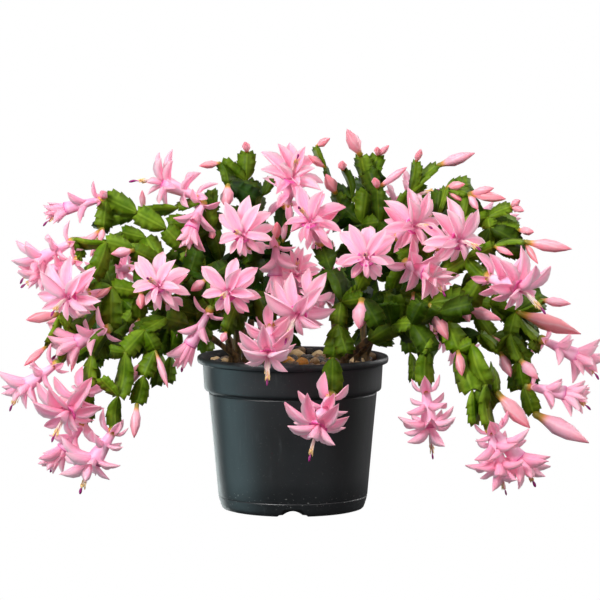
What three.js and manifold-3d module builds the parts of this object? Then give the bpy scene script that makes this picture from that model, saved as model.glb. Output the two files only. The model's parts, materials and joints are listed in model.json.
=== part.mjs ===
// A potted christmas cactus: flat jointed stems that arch out of a black nursery pot, with buds and flowers.
// Millimetres, +Z up. The origin is the middle of the pot's foot, and the front of the plant faces -Y.
import * as THREE from "three";
import { mergeVertices } from "three/addons/utils/BufferGeometryUtils.js";
import Module from "manifold-3d";

const wasm = await Module();
wasm.setup();

// ---------------------------------------------------------------- driving dimensions

const GAP = 0.6; // between pieces that touch
const SMALLEST_EDGE = 0.1;
const WHOLE_SHARE = 0.985; // a stem that a neighbour cuts smaller than this is held together by its strand

const POT_HEIGHT = 154;
const POT_FOOT_RADIUS = 68;
const POT_COLLAR_RADIUS = 89;
const POT_RIM_RADIUS = 96.2;
const POT_WALL = 1.6;
const POT_SIDES = 24;
const DRAIN_HOLES = 6;
const DRAIN_HOLE_RADIUS = 4;
const NOTCHES = 4;
const NOTCH_WIDTH = 32;
const NOTCH_TOP_WIDTH = 15;
const NOTCH_HEIGHT = 8;
const FLOOR_RAISE = 8; // how high the floor stands above the foot ring and the hub, so that water runs off
const FLOOR_THICKNESS = 3;
const HUB_RADIUS = 9; // the flat face in the middle of the underside
const FOOT_INNER_RADIUS = 60;

const MIX_TOP = 141;
const GRAVEL_TOP = 150;
const GRAVEL_BUMP = 2.4;

const PAD_LENGTH = 34; // one flat joint of a stem
const PAD_WIDTH = 23;
const PAD_THICKNESS = 4.6;
const BROADEST = 0.62; // how far along a pad it is broadest
const NECK_RADIUS = 2.5; // where one pad grows out of another
const CORE_RADIUS = 1.8; // the woody strand down the middle of a pad
const WOODY_RADIUS = 4.2; // the oldest joint, by the soil
const ROOT_DEPTH = 28;

const LARGE_BUD = 24; // length from which a bud is a solid

const FLOWER_LENGTH = 44; // from the stem to the mouth
const FLOWER_RADIUS = 33;
const STYLE_LENGTH = 27; // from the mouth to the stigma

// The far side of the plant repeats the near side's stems, a little smaller.
const FAR_SCALE = 0.9;

// ---------------------------------------------------------------- places in the front view

// A place on the plant is [across, down, depth]: where the front view shows it, on a square of 600 steps that
// measure about 1 mm each at the pot, and how far it lies behind (+) or before (-) the pot's axis, in mm.
const EYE = new THREE.Vector3(7.2, -3600, 519);
const VIEW_PITCH = THREE.MathUtils.degToRad(4.91);
const VIEW_MIDDLE = 300;
const VIEW_STEPS = 3600; // steps across for a unit of slope

function place([across, down, depth]) {
  const ray = new THREE.Vector3((across - VIEW_MIDDLE) / VIEW_STEPS, 0, 0)
    .addScaledVector(new THREE.Vector3(0, Math.cos(VIEW_PITCH), -Math.sin(VIEW_PITCH)), 1)
    .addScaledVector(
      new THREE.Vector3(0, Math.sin(VIEW_PITCH), Math.cos(VIEW_PITCH)),
      (VIEW_MIDDLE - down) / VIEW_STEPS,
    );
  return ray.multiplyScalar((depth - EYE.y) / ray.y).add(EYE);
}

// ---------------------------------------------------------------- the plant, stem by stem

// shoots: the first starts at the soil, and each later one grows from the nearest joint that is there.
// A joint is [across, down, depth, width seen]; without the last number the pad is turned by habit.
// buds: [across, down] at the base, then at the tip, then the width.
// flowers: [across, down] at the base, then at the mouth, and the size.
const STEMS = {
  left_upper: {
    shoots: [
      [[238, 353, -8], [236, 322, -20], [229, 291, -32], [220, 262, -42], [211, 232, -50], [204, 200, -54]],
      [[184, 246, -66, 20]],
      [[178, 208, -60, 12], [143, 212, -62, 12]],
      [[205, 272, -62], [186, 250, -80], [166, 229, -88, 24], [137, 213, -88, 24], [106, 198, -84, 24]],
      [[103, 228, -92, 18]],
      [[108, 214, -70, 12]],
    ],
    buds: [
      [152, 182, 142, 190, 6],
      [104, 196, 101, 191, 8],
      [102, 229, 71, 256, 9],
      [113, 238, 100, 242, 7],
      [219, 230, 213, 238, 7],
    ],
    flowers: [
      [203, 193, 158, 180, 0.95],
      [203, 203, 190, 232, 0.85],
      [95, 207, 55, 210, 0.9],
    ],
  },
  left_middle: {
    shoots: [
      [
        [232, 354, -30], [224, 326, -52], [210, 300, -75], [188, 280, -95], [160, 262, -106],
        [134, 250, -122], [106, 242, -132, 20], [76, 240, -130, 10],
      ],
      [[93, 277, -140, 19]],
      [[82, 258, -128, 10]],
      [
        [196, 314, -98], [170, 302, -114, 24], [141, 292, -124, 24], [112, 287, -126, 22],
        [88, 293, -124, 20],
      ],
      [[112, 327, -135, 22], [93, 354, -140, 14], [88, 387, -142, 16], [86, 421, -142, 18]],
      [[101, 308, -136, 14], [80, 338, -142, 14], [60, 362, -144, 10]],
      [[60, 314, -132, 8], [48, 345, -134, 9]],
      [[70, 325, -128, 12]],
    ],
    buds: [
      [137, 243, 111, 254, 9],
      [60, 303, 26, 320, 11],
      [118, 298, 95, 298, 6],
      [147, 287, 141, 309, 9],
      [131, 326, 129, 336, 7],
      [46, 346, 24, 366, 7],
      [78, 348, 71, 372, 7],
    ],
    flowers: [
      [70, 246, 35, 262, 0.95],
      [78, 256, 38, 275, 0.75],
      [88, 293, 66, 298, 1.1],
      [170, 302, 156, 283, 1.0],
      [112, 327, 72, 344, 0.9],
      [60, 362, 22, 388, 0.95],
      [88, 389, 66, 415, 1.1],
      [84, 432, 60, 452, 0.8],
    ],
  },
  left_lower: {
    shoots: [
      [
        [236, 356, -50], [212, 338, -76], [188, 324, -102], [166, 318, -128], [145, 330, -150],
        [125, 352, -162, 20], [118, 396, -166, 20], [116, 427, -166, 15],
      ],
      [[155, 350, -150, 26], [144, 376, -158, 22], [137, 403, -160, 22]],
      [[110, 350, -160, 14]],
      [[101, 378, -172, 14]],
    ],
    buds: [
      [137, 403, 134, 438, 9],
      [157, 356, 168, 388, 6],
    ],
    flowers: [[116, 436, 90, 466, 1.05]],
  },
  crown_left: {
    shoots: [
      [
        [250, 352, 5], [251, 320, 0], [253, 287, -4], [255, 251, -8], [254, 216, -10, 24],
        [246, 181, -10, 24], [247, 152, -10, 20],
      ],
      [[221, 163, -16, 20]],
      [[250, 262, -38], [252, 246, -66]],
      [[228, 184, -30, 14]],
      [[270, 306, 18], [277, 274, 20], [283, 242, 16], [286, 208, 8]],
      [[272, 254, -8], [276, 240, -38]],
      [[296, 296, -10]],
    ],
    buds: [
      [246, 151, 245, 142, 8],
      [220, 163, 199, 166, 7],
      [228, 185, 226, 208, 12],
      [277, 240, 277, 222, 9],
      [284, 232, 286, 222, 7],
    ],
    flowers: [
      [252, 246, 241, 233, 1.0],
      [286, 208, 293, 172, 1.0],
      [276, 241, 275, 280, 0.85],
      [296, 296, 297, 268, 0.8],
    ],
  },
  front_left: {
    shoots: [
      [[246, 354, -42], [242, 330, -66], [238, 312, -96], [236, 300, -126]],
      [[258, 296, -118], [270, 322, -134, 22]],
      [[212, 306, -118]],
      [[226, 332, -140, 15]],
      [[206, 280, -112, 13]],
    ],
    buds: [
      [223, 333, 222, 342, 7],
      [202, 277, 191, 291, 9],
    ],
    flowers: [
      [236, 300, 227, 291, 1.05],
      [271, 325, 268, 357, 1.0],
      [211, 308, 187, 350, 0.9],
    ],
  },
  front_right: {
    shoots: [
      [
        [344, 355, -36], [345, 328, -56], [344, 306, -82], [341, 302, -112], [338, 324, -132, 24],
        [333, 357, -138, 24], [332, 392, -140, 24],
      ],
      [[331, 270, -92], [315, 295, -112, 24]],
      [[358, 290, -98], [368, 270, -118]],
      [[362, 298, -130, 23]],
      [[322, 244, -72]],
    ],
    buds: [[362, 297, 359, 329, 14]],
    flowers: [
      [315, 295, 296, 316, 1.15],
      [368, 270, 366, 256, 1.05],
      [322, 244, 308, 217, 1.05],
      [332, 392, 317, 430, 1.1],
    ],
  },
  crown_right: {
    shoots: [
      [
        [364, 352, 15], [363, 320, 12], [362, 288, 8], [361, 256, 4], [362, 224, 0, 22],
        [367, 190, -2, 22], [361, 156, -4, 18],
      ],
      [[378, 156, 2, 20]],
      [[380, 222, -20, 18], [378, 188, -24, 16]],
      [[352, 198, 8, 10], [343, 170, 10, 9]],
      [[345, 226, 14], [336, 194, 14], [326, 168, 12, 8], [316, 147, 10, 8]],
      [[382, 264, -6], [394, 232, -12], [410, 194, -14, 14], [416, 162, -14, 12]],
      [[437, 166, -16, 16]],
      [[396, 238, -46]],
    ],
    buds: [
      [361, 153, 347, 129, 12],
      [381, 153, 389, 145, 6],
      [375, 154, 377, 147, 7],
      [382, 182, 407, 167, 8],
      [376, 186, 374, 178, 8],
      [317, 145, 330, 138, 7],
      [323, 165, 308, 155, 7],
      [330, 182, 326, 174, 11],
      [343, 170, 342, 161, 8],
      [416, 160, 421, 149, 7],
      [437, 165, 475, 153, 10],
    ],
    flowers: [[396, 238, 417, 224, 1.05]],
  },
  right_upper: {
    shoots: [
      [
        [366, 354, -6], [378, 326, -20], [390, 298, -34], [402, 270, -48], [418, 244, -56],
        [436, 218, -58], [446, 188, -56, 10],
      ],
      [[468, 194, -66, 12]],
      [[462, 222, -72], [488, 217, -72, 14], [511, 207, -70, 14]],
      [[490, 228, -80, 16], [518, 230, -80, 18]],
      [[436, 246, -86]],
      [[404, 262, -82]],
    ],
    buds: [
      [446, 188, 465, 184, 8],
      [471, 191, 494, 188, 8],
      [444, 200, 462, 201, 7],
      [469, 205, 506, 199, 10],
      [475, 199, 478, 210, 7],
      [511, 206, 520, 200, 7],
      [511, 208, 524, 211, 7],
      [519, 230, 534, 232, 8],
    ],
    flowers: [
      [436, 246, 462, 240, 1.1],
      [404, 262, 430, 275, 1.0],
    ],
  },
  right_middle: {
    shoots: [
      [
        [358, 356, -34], [376, 334, -60], [394, 312, -82], [414, 292, -98], [440, 274, -108],
        [466, 258, -112], [494, 246, -112, 14], [524, 242, -110, 8],
      ],
      [[484, 276, -128, 17]],
      [[464, 308, -120, 26]],
      [[430, 303, -110]],
      [
        [402, 326, -50], [430, 312, -52], [460, 304, -56, 20], [490, 304, -60, 16],
        [516, 312, -62, 12], [538, 338, -64, 12],
      ],
      [[540, 300, -56, 8]],
      [[510, 334, -74], [520, 360, -84, 14], [524, 386, -88, 14], [533, 413, -90, 20]],
      [[500, 352, -70, 10]],
      [[532, 350, -70, 15]],
    ],
    buds: [
      [525, 242, 572, 249, 11],
      [497, 253, 513, 255, 7],
      [530, 250, 538, 264, 6],
      [469, 306, 469, 322, 8],
      [471, 306, 501, 320, 11],
      [430, 303, 448, 340, 12],
      [411, 293, 417, 319, 12],
      [530, 315, 581, 334, 14],
      [541, 299, 571, 304, 8],
      [534, 414, 589, 443, 15],
      [505, 352, 511, 377, 10],
      [520, 352, 538, 379, 11],
      [498, 340, 504, 350, 7],
    ],
    flowers: [
      [484, 276, 522, 290, 1.1],
      [538, 338, 582, 358, 1.0],
      [524, 386, 570, 394, 0.9],
    ],
  },
  right_lower: {
    shoots: [
      [
        [346, 358, -54], [368, 340, -80], [392, 326, -104], [412, 324, -130], [426, 349, -146, 20],
        [425, 384, -150, 20],
      ],
      [
        [418, 308, -122], [444, 318, -140], [458, 350, -150, 24], [472, 390, -154, 26],
        [475, 424, -156, 14],
      ],
      [[472, 344, -142, 20], [486, 384, -150, 20], [489, 426, -152, 15]],
      [[492, 366, -134, 6], [496, 392, -136, 8]],
    ],
    buds: [
      [495, 390, 530, 428, 14],
      [452, 361, 462, 376, 9],
    ],
    flowers: [
      [425, 386, 430, 432, 1.0],
      [489, 430, 500, 470, 0.95],
      [489, 428, 522, 462, 1.0],
    ],
  },
};

// The far side: a near stem turned about the pot's axis, in degrees, with the flowers that it keeps.
const FAR_STEMS = {
  far_right: { of: "left_upper", turn: 172, flowers: [0, 2] },
  far_back_right: { of: "left_middle", turn: 200, flowers: [0, 3, 4, 5] },
  far_back: { of: "front_right", turn: 165, flowers: [0, 1, 3] },
  far_back_left: { of: "right_lower", turn: 170, flowers: [] },
  far_left: { of: "right_middle", turn: 178, flowers: [0] },
};

// ---------------------------------------------------------------- solids

// A closed skin over a row of rings, which are loops of equally many points, anticlockwise about the way
// they go.
function skin(rings) {
  const count = rings[0].length;
  const points = rings.flat();
  const last = points.length - count;
  const index = [];
  for (let ring = 0; ring < last; ring += count) {
    for (let i = 0; i < count; i++) {
      const a = ring + i;
      const b = ring + ((i + 1) % count);
      index.push(a, b, b + count, a, b + count, a + count);
    }
  }
  for (let i = 1; i + 1 < count; i++) {
    index.push(0, i + 1, i, last, last + i, last + i + 1);
  }
  return new THREE.BufferGeometry().setFromPoints(points).setIndex(index);
}

function solidOf(geometry) {
  geometry.deleteAttribute("normal");
  geometry.deleteAttribute("uv");
  const merged = mergeVertices(geometry, 1e-3);
  return new wasm.Manifold(
    new wasm.Mesh({
      numProp: 3,
      vertProperties: new Float32Array(merged.attributes.position.array),
      triVerts: new Uint32Array(merged.index.array),
    }),
  );
}

function geometryOf(solid) {
  const mesh = solid.getMesh();
  const geometry = new THREE.BufferGeometry();
  geometry.setAttribute("position", new THREE.BufferAttribute(mesh.vertProperties, 3));
  geometry.setIndex(new THREE.BufferAttribute(mesh.triVerts, 1));
  const flat = geometry.toNonIndexed();
  flat.computeVertexNormals();
  return flat;
}

// A ring of points about a centre, reaching so far along its side and its face.
function ring(centre, side, face, reachSide, reachFace, count = 4) {
  return Array.from({ length: count }, (_, i) => {
    const angle = (2 * Math.PI * i) / count;
    return centre
      .clone()
      .addScaledVector(side, reachSide * Math.cos(angle))
      .addScaledVector(face, reachFace * Math.sin(angle));
  });
}

// A side and a face at right angles to a way, with the face towards the front where it can be.
function frameOf(along, twist = 0) {
  const towards = new THREE.Vector3(0, -1, 0.15);
  const face = towards.addScaledVector(along, -towards.dot(along));
  if (face.length() < 0.3) face.set(0, 0, 1).addScaledVector(along, -along.z);
  face.normalize().applyAxisAngle(along, twist);
  const side = new THREE.Vector3().crossVectors(face, along);
  return { side, face };
}

// ---------------------------------------------------------------- stems

// Each shoot as a list of places, with the widths seen.
function shootsOf({ shoots }) {
  const joints = [];
  return shoots.map((rows) => {
    const first = place(rows[0]);
    const from = joints.reduce(
      (best, joint) => (!best || joint.distanceTo(first) < best.distanceTo(first) ? joint : best),
      null,
    );
    const points = rows.map(place);
    joints.push(...points);
    const seen = rows.map((row) => row[3]);
    return from
      ? { points: [from, ...points], seen, rooted: false }
      : { points, seen: seen.slice(1), rooted: true };
  });
}

function nearestJoint(shoots, [across, down]) {
  const flat = ({ x, z }) => new THREE.Vector2(x, z);
  let best = null;
  for (const joint of shoots.flatMap((shoot) => shoot.points)) {
    const there = place([across, down, joint.y]);
    const away = flat(there).distanceTo(flat(joint));
    if (!best || away < best.away) best = { joint, away };
  }
  return best.joint;
}

// One pad's length, width and turned frame. Where the front view shows it narrow, it is turned edge on.
function padOf(from, to, seen, number) {
  const along = to.clone().sub(from);
  const length = along.length();
  along.normalize();
  const width = PAD_WIDTH * THREE.MathUtils.clamp(length / PAD_LENGTH, 0.75, 1.15);
  const habit = 0.5 + 0.3 * Math.sin(number * 2.4);
  const turn = seen ? Math.acos(Math.min(1, seen / width)) : habit;
  const sign = number % 2 ? 1 : -1;
  return { along, length, width, ...frameOf(along, sign * turn) };
}

function padsOf({ points, seen }) {
  return seen.map((width, k) => padOf(points[k], points[k + 1], width, k + points.length));
}

// The blades of one shoot, in one skin: a narrow neck and a broad blade for each pad. A grown skin keeps
// a gap round it.
function bladesOf(shoot, grow = 0) {
  const pads = padsOf(shoot);
  const rings = [];
  pads.forEach((pad, k) => {
    const from = shoot.points[k];
    const woody = shoot.rooted && k === 0;
    const before = pads[k - 1] || pad;
    if (before.side.dot(pad.side) < 0) {
      pad.side.negate();
      pad.face.negate();
    }
    const way = before.along.clone().add(pad.along).normalize();
    const side = before.side.clone().add(pad.side);
    side.addScaledVector(way, -side.dot(way)).normalize();
    const face = new THREE.Vector3().crossVectors(way, side);
    const neck = (woody ? WOODY_RADIUS : NECK_RADIUS) + grow;
    rings.push(ring(from, side, face, neck, neck));
    const broad = woody ? WOODY_RADIUS : pad.width / 2;
    const thick = woody ? WOODY_RADIUS : PAD_THICKNESS / 2;
    const middle = from.clone().addScaledVector(pad.along, pad.length * BROADEST);
    rings.push(ring(middle, pad.side, pad.face, broad + 1.6 * grow, thick + grow));
  });
  const end = pads.at(-1);
  const tip = shoot.points.at(-1).clone().addScaledVector(end.along, grow);
  rings.push(ring(tip, end.side, end.face, NECK_RADIUS + grow, NECK_RADIUS * 0.8 + grow));
  return solidOf(skin(rings));
}

// The strand down the middle, which nothing else may cut.
function coreOf(shoot, grow = 0) {
  const pads = padsOf(shoot);
  const rings = shoot.points.map((point, k) => {
    const before = pads[Math.max(k - 1, 0)];
    const after = pads[Math.min(k, pads.length - 1)];
    const way = before.along.clone().add(after.along).normalize();
    const { side, face } = frameOf(way);
    const radius = (shoot.rooted && k < 2 ? WOODY_RADIUS - 0.4 : CORE_RADIUS) + grow;
    return ring(point, side, face, radius, radius);
  });
  return solidOf(skin(rings));
}

// The woody foot that goes down into the soil.
function rootOf(point, grow = 0) {
  const along = new THREE.Vector3(0, 0, 1);
  const { side, face } = frameOf(along);
  const foot = point.clone().addScaledVector(along, -ROOT_DEPTH - grow);
  const top = point.clone().addScaledVector(along, 3);
  const radius = WOODY_RADIUS + grow;
  return solidOf(skin([foot, top].map((centre) => ring(centre, side, face, radius, radius, 6))));
}

// Only the larger buds are solids. The rest are a few millimetres long.
function isLarge([across, down, tipAcross, tipDown]) {
  return Math.hypot(tipAcross - across, tipDown - down) > LARGE_BUD;
}

function budOf(shoots, [across, down, tipAcross, tipDown, width], grow = 0) {
  const joint = nearestJoint(shoots, [across, down]);
  const base = place([across, down, joint.y - 2]);
  const tip = place([tipAcross, tipDown, joint.y - 4]);
  const along = tip.clone().sub(base).normalize();
  const { side, face } = frameOf(along);
  const start = joint.clone().addScaledVector(along, -1);
  const fat = base.clone().lerp(tip, 0.5);
  return solidOf(
    skin([
      ring(start, side, face, 1.5 + grow, 1.5 + grow),
      ring(fat, side, face, width / 2 + grow, width / 2 + grow),
      ring(tip.addScaledVector(along, grow), side, face, 0.6 + grow, 0.6 + grow),
    ]),
  );
}

// ---------------------------------------------------------------- flowers

const PETALS = 4;
const TUBE_SWELLS_AT = 0.6; // share of the flower's length
const STAR_AT = 0.88;

// A star on a tube: ovary, tube, star of petals, throat, and the style out to its stigma.
function flowerOf(shoots, [across, down, mouthAcross, mouthDown, size], grow = 0) {
  const base = nearestJoint(shoots, [across, down]);
  const flat = place([mouthAcross, mouthDown, base.y]).sub(base);
  const reach = Math.hypot(flat.x, flat.z);
  const length = THREE.MathUtils.clamp(FLOWER_LENGTH * Math.sqrt(size), reach, reach + 40);
  const depth = base.y - Math.sqrt(length * length - reach * reach);
  const along = place([mouthAcross, mouthDown, depth]).sub(base).normalize();
  const { side, face } = frameOf(along);
  const at = (share) => base.clone().addScaledVector(along, length * share);
  const star = (centre, tips, waists) =>
    ring(centre, side, face, 1, 1, 2 * PETALS).map((point, i) =>
      point.sub(centre).multiplyScalar((i % 2 ? waists : tips) + grow).add(centre),
    );
  const radius = FLOWER_RADIUS * size;
  const mouth = at(1);
  return solidOf(
    skin([
      star(at(0.03), 2.6, 2.6),
      star(at(TUBE_SWELLS_AT).addScaledVector(along, -grow), 5, 5),
      star(at(STAR_AT), radius, 9),
      star(mouth.clone().addScaledVector(along, grow), 6, 5),
      star(mouth.clone().addScaledVector(along, STYLE_LENGTH * size + grow), 0.7, 0.7),
    ]),
  );
}

// ---------------------------------------------------------------- the pot and what fills it

function lathe(profile) {
  const points = profile.map(([radius, height]) => new THREE.Vector2(radius, height));
  const geometry = new THREE.LatheGeometry(points, POT_SIDES);
  geometry.rotateX(Math.PI / 2);
  return solidOf(geometry);
}

// The pot's outside, foot to rim: the belly, the collar and the rolled rim.
const POT_SIDE = [
  [70.2, 1], [73, 5], [77, 35], [80.8, 77], [84.6, 118], [POT_COLLAR_RADIUS, 121.5], [90.5, 145.5],
];
const FLOOR_TOP = FLOOR_RAISE + FLOOR_THICKNESS;
const DRAFT = 3; // how far the hub's side leans out over its height
const RIM_THICKNESS = 7;
const RIM_INNER_RADIUS = 90;

function potOf() {
  const rimBottom = POT_HEIGHT - RIM_THICKNESS;
  const inner = POT_SIDE.map(([radius, height]) => [radius - POT_WALL, height]);
  const outside = [
    [0, 0], [HUB_RADIUS, 0], [HUB_RADIUS + DRAFT, FLOOR_RAISE], [FOOT_INNER_RADIUS - 2, FLOOR_RAISE],
    [FOOT_INNER_RADIUS, 0], [POT_FOOT_RADIUS, 0], ...POT_SIDE,
    [POT_RIM_RADIUS - 1, rimBottom - 1], [POT_RIM_RADIUS, POT_HEIGHT - 2], [POT_RIM_RADIUS - 2, POT_HEIGHT],
  ];
  const inside = [
    [RIM_INNER_RADIUS, POT_HEIGHT], ...inner.slice(1).reverse(), [FOOT_INNER_RADIUS + DRAFT, FLOOR_TOP],
    [HUB_RADIUS + 1, FLOOR_TOP], [HUB_RADIUS - DRAFT, FLOOR_THICKNESS], [0, FLOOR_THICKNESS],
  ];
  const body = lathe([...outside, ...inside]);
  const cuts = [];
  for (let k = 0; k < NOTCHES; k++) {
    const half = NOTCH_WIDTH / 2;
    const top = NOTCH_TOP_WIDTH / 2;
    const shape = new THREE.Shape(
      [[-half, -1], [half, -1], [half, 0], [top, NOTCH_HEIGHT], [-top, NOTCH_HEIGHT], [-half, 0]].map(
        ([x, y]) => new THREE.Vector2(x, y),
      ),
    );
    const notch = new THREE.ExtrudeGeometry(shape, { depth: 20, bevelEnabled: false });
    notch.rotateX(Math.PI / 2);
    notch.translate(0, 1 - FOOT_INNER_RADIUS, 0);
    notch.rotateZ((k * 2 * Math.PI) / NOTCHES);
    cuts.push(solidOf(notch));
  }
  for (let k = 0; k < DRAIN_HOLES; k++) {
    const hole = new THREE.CylinderGeometry(DRAIN_HOLE_RADIUS, DRAIN_HOLE_RADIUS, 20, 6);
    hole.rotateX(Math.PI / 2);
    hole.translate(0, (HUB_RADIUS + FOOT_INNER_RADIUS) / 2, FLOOR_RAISE);
    hole.rotateZ(((k + 0.5) * 2 * Math.PI) / DRAIN_HOLES);
    cuts.push(solidOf(hole));
  }
  return body.subtract(wasm.Manifold.union(cuts));
}

// The mix follows the pot's floor and wall at a gap.
function mixOf() {
  const floor = [
    [HUB_RADIUS - DRAFT - GAP, FLOOR_THICKNESS + GAP],
    [HUB_RADIUS + 1 - GAP, FLOOR_TOP + GAP],
    [FOOT_INNER_RADIUS + 2 * DRAFT, FLOOR_TOP + GAP],
  ];
  const wall = POT_SIDE.slice(2, -1).map(([radius, height]) => [radius - POT_WALL - GAP, height + GAP]);
  const top = [POT_COLLAR_RADIUS - POT_WALL - GAP, MIX_TOP];
  return lathe([[0, FLOOR_THICKNESS + GAP], ...floor, ...wall, top, [0, MIX_TOP]]);
}

// Pebbles, as one bumpy layer: each ring of the lathe rises and falls round the pot.
function gravelOf() {
  const bottom = MIX_TOP + GAP;
  const outer = POT_COLLAR_RADIUS - POT_WALL - GAP;
  const rings = [20, 40, 60, 78];
  const profile = [
    [0, bottom], [outer, bottom], [outer, GRAVEL_TOP - 4],
    ...rings.map((radius) => [radius, GRAVEL_TOP - 1]).reverse(), [0, GRAVEL_TOP],
  ];
  const points = profile.map(([radius, height]) => new THREE.Vector2(radius, height));
  const geometry = new THREE.LatheGeometry(points, POT_SIDES);
  geometry.rotateX(Math.PI / 2);
  const position = geometry.attributes.position;
  for (let i = 0; i < position.count; i++) {
    const x = position.getX(i);
    const y = position.getY(i);
    const radius = Math.hypot(x, y);
    if (position.getZ(i) < GRAVEL_TOP - 2 || radius < 1) continue;
    const angle = Math.atan2(y, x);
    const bump = Math.sin(angle * 9 + radius * 0.7) * Math.cos(angle * 5 - radius * 0.4);
    position.setZ(i, GRAVEL_TOP - 1 + GRAVEL_BUMP * bump);
  }
  return solidOf(geometry);
}

// ---------------------------------------------------------------- the parts, cleared of each other

const MATERIALS = {
  plastic: { color: 0x1b1e21, roughness: 0.45, metalness: 0 },
  mix: { color: 0x33241a, roughness: 1, metalness: 0 },
  gravel: { color: 0xb28c5e, roughness: 0.7, metalness: 0 },
  stem: { color: 0x3d6b34, roughness: 0.5, metalness: 0 },
  petal: { color: 0xf0a9c4, roughness: 0.6, metalness: 0 },
};

function meshOf(name, solid, material) {
  const mesh = new THREE.Mesh(geometryOf(solid), new THREE.MeshStandardMaterial(MATERIALS[material]));
  mesh.name = name;
  return mesh;
}

function largest(solid) {
  return solid.decompose().reduce((best, body) => (body.volume() > best.volume() ? body : best));
}

// The largest body, without slivers or doubled corners.
function sound(solid) {
  return largest(solidOf(geometryOf(largest(solid.simplify(SMALLEST_EDGE)))));
}

function meets(a, b) {
  const [p, q] = [a.boundingBox(), b.boundingBox()];
  return [0, 1, 2].every((k) => p.min[k] < q.max[k] && q.min[k] < p.max[k]);
}

// A solid less every one of the others that comes near it.
function cleared(solid, others) {
  const near = others.filter((other) => meets(solid, other));
  return near.length ? solid.subtract(wasm.Manifold.union(near)) : solid;
}

// The move of a far stem: smaller about the soil's middle, then turned round the pot's axis.
function farMove(turn) {
  const soil = new THREE.Matrix4().makeTranslation(0, 0, GRAVEL_TOP);
  return new THREE.Matrix4()
    .makeRotationZ(THREE.MathUtils.degToRad(turn))
    .multiply(soil.clone())
    .multiply(new THREE.Matrix4().makeScale(FAR_SCALE, FAR_SCALE, FAR_SCALE))
    .multiply(soil.clone().invert());
}

// A shoot's blades, cleared of their neighbours. Where a neighbour cuts it in two, its strand holds it
// together.
function clearedShoot({ blades, core }, others) {
  const solid = cleared(blades, others);
  const whole = largest(solid).volume() > WHOLE_SHARE * blades.volume();
  return whole ? solid : wasm.Manifold.union(solid, core);
}

// Every plant, near and far, with its solids at their true size or grown by a gap.
function plants() {
  const near = Object.entries(STEMS).map(([name, stem]) => ({
    name,
    stem,
    move: new THREE.Matrix4(),
    kept: stem.flowers.map((_, k) => k),
  }));
  const far = Object.entries(FAR_STEMS).map(([name, { of, turn, flowers }]) => ({
    name,
    stem: STEMS[of],
    move: farMove(turn),
    kept: flowers,
  }));
  return [...near, ...far].map(({ name, stem, move, kept }) => {
    const shoots = shootsOf(stem);
    const moved = (solid) => solid.transform(move.elements);
    return {
      name,
      shoots: (grow) =>
        shoots.map((shoot) => ({ blades: moved(bladesOf(shoot, grow)), core: moved(coreOf(shoot, grow)) })),
      buds: (grow) => stem.buds.filter(isLarge).map((bud) => moved(budOf(shoots, bud, grow))),
      root: (grow) => moved(rootOf(shoots[0].points[0], grow)),
      flowers: kept.map((k) => (grow) => moved(flowerOf(shoots, stem.flowers[k], grow))),
    };
  });
}

function build() {
  const { union } = wasm.Manifold;
  const all = plants();
  const parts = [];
  const fatCores = all.map((plant) => [...plant.shoots(GAP).map((shoot) => shoot.core), plant.root(GAP)]);
  const fatBlades = [];
  const stems = [];
  all.forEach((plant, number) => {
    const others = [...fatCores.filter((_, k) => k !== number).flat(), ...fatBlades, ...stems];
    const shoots = plant.shoots(0).map((shoot) => clearedShoot(shoot, others));
    const buds = plant.buds(0).map((bud) => cleared(bud, others));
    stems.push(sound(union([...shoots, ...buds, plant.root(0)])));
    parts.push(meshOf(`stem_${plant.name}`, stems.at(-1), "stem"));
    fatBlades.push(...plant.shoots(GAP).map((shoot) => shoot.blades), ...plant.buds(GAP));
  });

  const fatStems = [...fatCores.flat(), ...fatBlades, ...stems];
  const fatFlowers = [];
  all.flatMap((plant) => plant.flowers).forEach((flower, k) => {
    const solid = sound(cleared(flower(0), [...fatStems, ...fatFlowers]));
    parts.push(meshOf(`flower_${String(k + 1).padStart(2, "0")}`, solid, "petal"));
    fatFlowers.push(flower(GAP));
  });

  return [
    meshOf("pot", potOf(), "plastic"),
    meshOf("potting_mix", sound(cleared(mixOf(), fatStems)), "mix"),
    meshOf("gravel", sound(cleared(gravelOf(), [...fatStems, ...fatFlowers])), "gravel"),
    ...parts,
  ];
}

const plant = new THREE.Group();
plant.add(...build());
export default plant;
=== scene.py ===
# %% [markdown]
# # A potted christmas cactus
#
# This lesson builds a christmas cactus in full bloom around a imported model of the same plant. The
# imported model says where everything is: the pot, the soil, fifteen rooted stems and forty-two
# flowers. Here each gets its real surface. Such a plant is a few shapes repeated hundreds of
# times, so most of the work is one good pad, petal, bud and pebble, and then where each copy goes.

# %% The frame, and the box that it fills
import json
import math
import random

import bmesh
import bpy
from mathutils import Matrix, Vector, noise

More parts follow.
